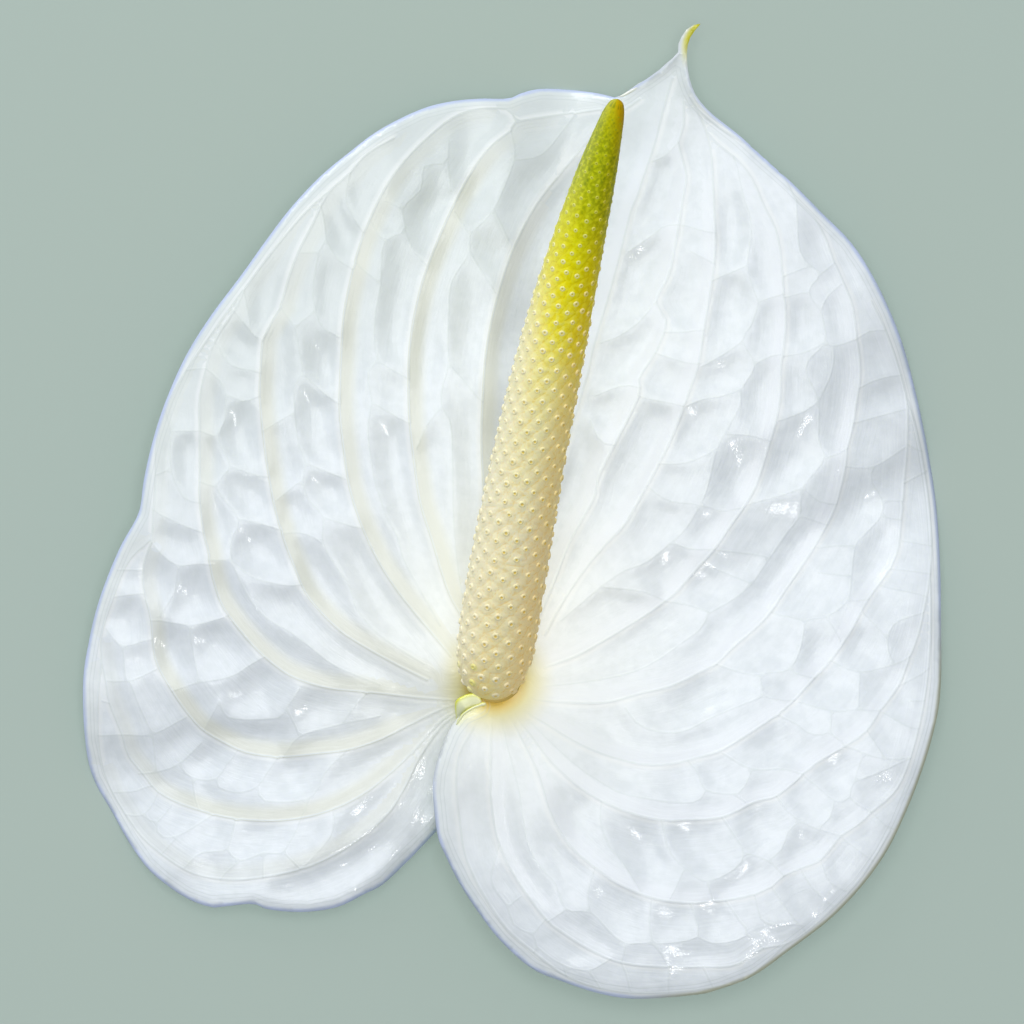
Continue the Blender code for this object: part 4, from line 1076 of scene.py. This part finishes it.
def petal_finish():
    """Glossy white flesh with veins, painted bands of light and shade, a pale throat and a tinted rim and tip.
    """
    look = Finish("petal", Roughness=0.4, Subsurface_Weight=0.1, Subsurface_Scale=0.0006, Coat_Weight=0.5,
                  Coat_Roughness=0.1)
    look.shader.inputs["Subsurface Radius"].default_value = (1.0, 1.0, 0.85)
    main, net, rim, tip, base, inner, outer, half, right = (
        look.attribute("to_" + name)
        for name in ("main", "net", "rim", "tip", "base", "inner", "outer", "half", "right"))
    shade = look.mix(look.ease(look.noise(28.0), 0.35, 0.65), colour(234, 240, 246), colour(240, 246, 252))
    mottle = look.math("ADD", look.times(look.noise(520.0, 6.0), 0.7),
                       look.times(look.noise(1.0, 5.0, (1.3, 0.3, 1.0), (main, base)), 0.3))
    shade = look.mix(look.ease(mottle, 0.36, 0.62, 0.28, 0.0), shade, colour(212, 220, 224))
    # Painted shade: the petal darker toward the upper left
    shade = look.mix(look.slope((-0.6, 0.8, 0.0), 0.02, 0.055, 0.7), shade, colour(217, 225, 224))
    # Painted light and shade: a band beside each main vein, darker cream on the left half and pale bluish white
    # on the right
    painted_light_band = look.times(look.ease(inner, 0.0, 0.3), look.ease(inner, 1.2, 3.2, 1.0, 0.0),
                      look.ease(rim, 3.0, 16.0, 0.2, 0.8))
    tint_and_painted_light = look.mix(look.ease(half, -0.1, 0.3), colour(227, 229, 217), colour(240, 245, 252))
    shade = look.mix(painted_light_band, shade, tint_and_painted_light)
    # Painted highlight: a thin pale line along the outer side of each main vein
    painted_highlight = look.times(look.ease(outer, 0.05, 0.25), look.ease(outer, 0.4, 1.1, 1.0, 0.0), 0.5)
    shade = look.mix(painted_highlight, shade, colour(246, 249, 250))
    # Yellow round the base, darkened toward ochre near the spadix's foot as painted shade
    for near, far, part, tint_and_painted_light in BASE_TINTS_AND_PAINTED_SHADE:
        shade = look.mix(look.ease(base, near, far, part, 0.0), shade, colour(*tint_and_painted_light))
    clear = look.ease(base, *VEINS_CLEAR)
    for line, (width, part) in ((main, MAIN_LINE), (net, NET_LINE)):
        line = look.times(look.ease(line, ON_LINE, width, part, 0.0), clear)
        shade = look.mix(line, shade, colour(200, 211, 205))
    # The rim's band: a lavender fringe, and on the lower right an olive-brown edge of painted shade
    fringe = look.times(look.ease(rim, 0.15, 0.75, 0.85, 0.0), look.ease(base, 12.0, 30.0, 0.1, 1.0),
                        look.ease(tip, 8.0, 18.0, 0.2, 1.0))
    painted_shade_side = look.slope((0.78, -0.62, 0.0), 0.066, 0.078, 1.0)
    shade = look.mix(fringe, shade, look.mix(painted_shade_side, colour(194, 207, 242), colour(178, 180, 150)))
    for inset in RIM_LINES:
        line = look.math("ABSOLUTE", look.math("SUBTRACT", rim, inset))
        shade = look.mix(look.ease(line, 0.0, 0.16, 0.3, 0.0), shade, colour(198, 208, 208))
    shade = look.mix(look.ease(tip, 1.0, 7.0, 0.5, 0.0), shade, colour(240, 242, 215))
    yellow = look.times(look.ease(right, 0.35, 1.1, 1.0, 0.0), look.ease(tip, 3.0, 9.0, 1.0, 0.0))
    shade = look.mix(yellow, shade, colour(204, 200, 12))
    curl, edge = look.attribute("curl"), look.attribute("edge")
    shade = look.mix(look.ease(curl, 0.2, 0.8), shade, look.ramp(edge, ROLL_COLOURS))
    shade = look.mix(look.ease(curl, 1.2, 1.8), shade, look.ramp(edge, LIP_COLOURS))
    look.put(look.shader.inputs["Base Color"], shade)
    ridge = look.math("ADD", look.ease(main, 0.0, 0.38, 1.0, 0.0), look.ease(net, 0.0, 0.3, 0.5, 0.0))
    fibre = look.noise(1.0, 4.0, (1.6, 0.22, 1.0), (main, base))
    height = look.math("ADD", look.times(ridge, clear, 0.3), look.times(fibre, 0.35))
    look.put(look.shader.inputs["Normal"], look.bump(height, 0.00018))
    look.put(look.shader.inputs["Coat Normal"], look.bump(look.noise(2600.0, 2.0), 0.00002))
    return look.material


def spadix_finish():
    """Florets from cream through yellow to green, with darker borders, rings and pits, and painted light and
    shade on the flanks.
    """
    look = Finish("florets", Roughness=0.45, Subsurface_Weight=0.1, Subsurface_Scale=0.0006)
    look.shader.inputs["Subsurface Radius"].default_value = (1.0, 0.8, 0.35)
    look.shader.inputs["Specular IOR Level"].default_value = 0.08
    flank, radial, border, arm, tone = (
        look.attribute(name) for name in ("flank", "radial", "border", "arm", "tone"))
    share = look.math("ADD", look.attribute("share"), look.times(flank, 0.035))
    body, edge, star = (look.ramp(share, [(row[0], row[i]) for row in FLORET_COLOURS]) for i in (1, 2, 3))
    line = look.ease(border, 0.01, 0.12, 0.6, 0.0)
    arms = look.times(look.ease(arm, 0.04, 0.26, 1.0, 0.0), look.ease(border, 0.03, 0.3),
                      look.ease(share, 0.4, 0.65, 0.35, 0.85))
    pebbles = look.noise(1300.0, 1.5)
    shade = look.mix(arms, body, star)
    shade = look.mix(look.ease(pebbles, 0.5, 0.62, 0.0, 0.5), shade, star)
    shade = look.mix(look.ease(pebbles, 0.36, 0.48, 0.25, 0.0), shade, edge)
    dark = look.times(look.ease(arm, 0.2, 0.45), look.ease(border, 0.1, 0.35),
                      look.ease(share, 0.74, 0.86, 0.0, 0.55))
    shade = look.mix(dark, shade, colour(105, 128, 8))
    shade = look.mix(line, shade, edge)
    seam = look.times(look.ease(arm, 0.02, 0.13, 1.0, 0.0), look.ease(radial, 0.4, 0.6),
                      look.ease(share, 0.4, 0.6, 0.35, 0.0))
    shade = look.mix(seam, shade, edge)
    shade = look.mix(look.attribute("stigma"), shade, look.ramp(share, RING_COLOURS))
    shade = look.mix(look.attribute("pit"), shade, look.ramp(share, PIT_COLOURS))
    fresh = look.times(look.ease(tone, 0.45, 0.6), look.ease(share, 0.03, 0.09, 1.0, 0.0),
                       look.ease(radial, 0.2, 0.55, 1.0, 0.0), 0.8)
    shade = look.mix(fresh, shade, colour(226, 222, 20))
    # Painted light: the left flank paler, most over the lower part of the spadix
    painted_highlight = look.times(look.ease(flank, -0.1, -1.0, 0.0, 0.6), look.ease(share, 0.55, 0.75, 1.0, 0.15))
    shade = look.mix(painted_highlight, shade, colour(254, 246, 220))
    # Painted shade: the right flank multiplied toward golden ochre
    shade = look.mix(look.ease(flank, 0.1, 0.9, 0.0, 0.4), shade, colour(255, 212, 120), "MULTIPLY")
    shade = look.mix(look.ease(tone, -1.0, 1.0, 0.0, 0.06), shade, colour(226, 206, 130), "MULTIPLY")
    look.put(look.shader.inputs["Base Color"], shade)
    look.put(look.shader.inputs["Normal"], look.bump(look.noise(1000.0, 1.5), 0.0003, 0.4))
    return look.material


def stem_finish():
    """Streaked green skin and a pale cut."""
    look = Finish("stalk", Roughness=0.38, Coat_Weight=0.2, Subsurface_Weight=0.1, Subsurface_Scale=0.001)
    streaks = look.noise(260.0, 4.0, (1.0, 0.12, 1.0))
    shade = look.ramp(streaks, STREAK_COLOURS)
    pith = look.mix(look.noise(900.0), colour(206, 214, 160), colour(182, 196, 130))
    shade = look.mix(look.attribute("cut"), shade, pith)
    look.put(look.shader.inputs["Base Color"], shade)
    look.put(look.shader.inputs["Normal"], look.bump(streaks, 0.0001, 0.4))
    return look.material


def floor_finish():
    """A plain pale grey-green."""
    look = Finish("floor", Roughness=0.9)
    look.shader.inputs["Specular IOR Level"].default_value = 0.1
    look.shader.inputs["Base Color"].default_value = colour(180, 195, 187)
    return look.material


def area_light(name, heading, tilt, far, size, power, shade, shadow):
    """A lamp aimed at the middle, by heading clockwise from the picture's top and tilt from overhead."""
    light = bpy.data.lights.new(name, "AREA")
    light.shape = "DISK"
    light.size = size
    light.energy = power
    light.color = shade
    light.use_shadow = shadow
    lamp = bpy.data.objects.new(name, light)
    heading, tilt = np.radians((heading, tilt))
    level = far * np.sin(tilt)
    lamp.location = (level * np.sin(heading), level * np.cos(heading), far * np.cos(tilt))
    lamp.rotation_euler = (-lamp.location).to_track_quat("-Z", "Y").to_euler()
    bpy.context.scene.collection.objects.link(lamp)


def studio():
    """Floor, soft light, lamps and a camera that looks straight down."""
    scene = bpy.context.scene
    mesh = bpy.data.meshes.new("floor")
    corners = [(x * FLOOR_REACH, y * FLOOR_REACH, 0) for x, y in ((-1, -1), (1, -1), (1, 1), (-1, 1))]
    mesh.from_pydata(corners, [], [(0, 1, 2, 3)])
    mesh.materials.append(floor_finish())
    floor = bpy.data.objects.new("floor", mesh)
    scene.collection.objects.link(floor)
    world = bpy.data.worlds.new("soft")
    world.use_nodes = True
    world.node_tree.nodes["Background"].inputs["Color"].default_value = SKY
    world.node_tree.nodes["Background"].inputs["Strength"].default_value = SKY_STRENGTH
    scene.world = world
    for lamp in LAMPS:
        area_light(*lamp)
    scene.view_settings.view_transform = "Standard"
    lens = bpy.data.cameras.new("camera")
    lens.sensor_width = 36.0
    camera = bpy.data.objects.new("camera", lens)
    camera.location = (0.0, 0.0, CAMERA_HEIGHT)
    lens.lens = lens.sensor_width * (CAMERA_HEIGHT - TRUE_HEIGHT) / (PICTURE_SIDE * UNIT / 1000)
    lens.clip_end = 100.0
    scene.collection.objects.link(camera)
    scene.camera = camera


for made, node, finish in ((spathe_piece, "spathe", petal_finish), (spadix_piece, "spadix", spadix_finish),
                           (stem_piece, "stem", stem_finish)):
    fine = made()
    fine.data.materials.append(finish())
    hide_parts(node)

studio()
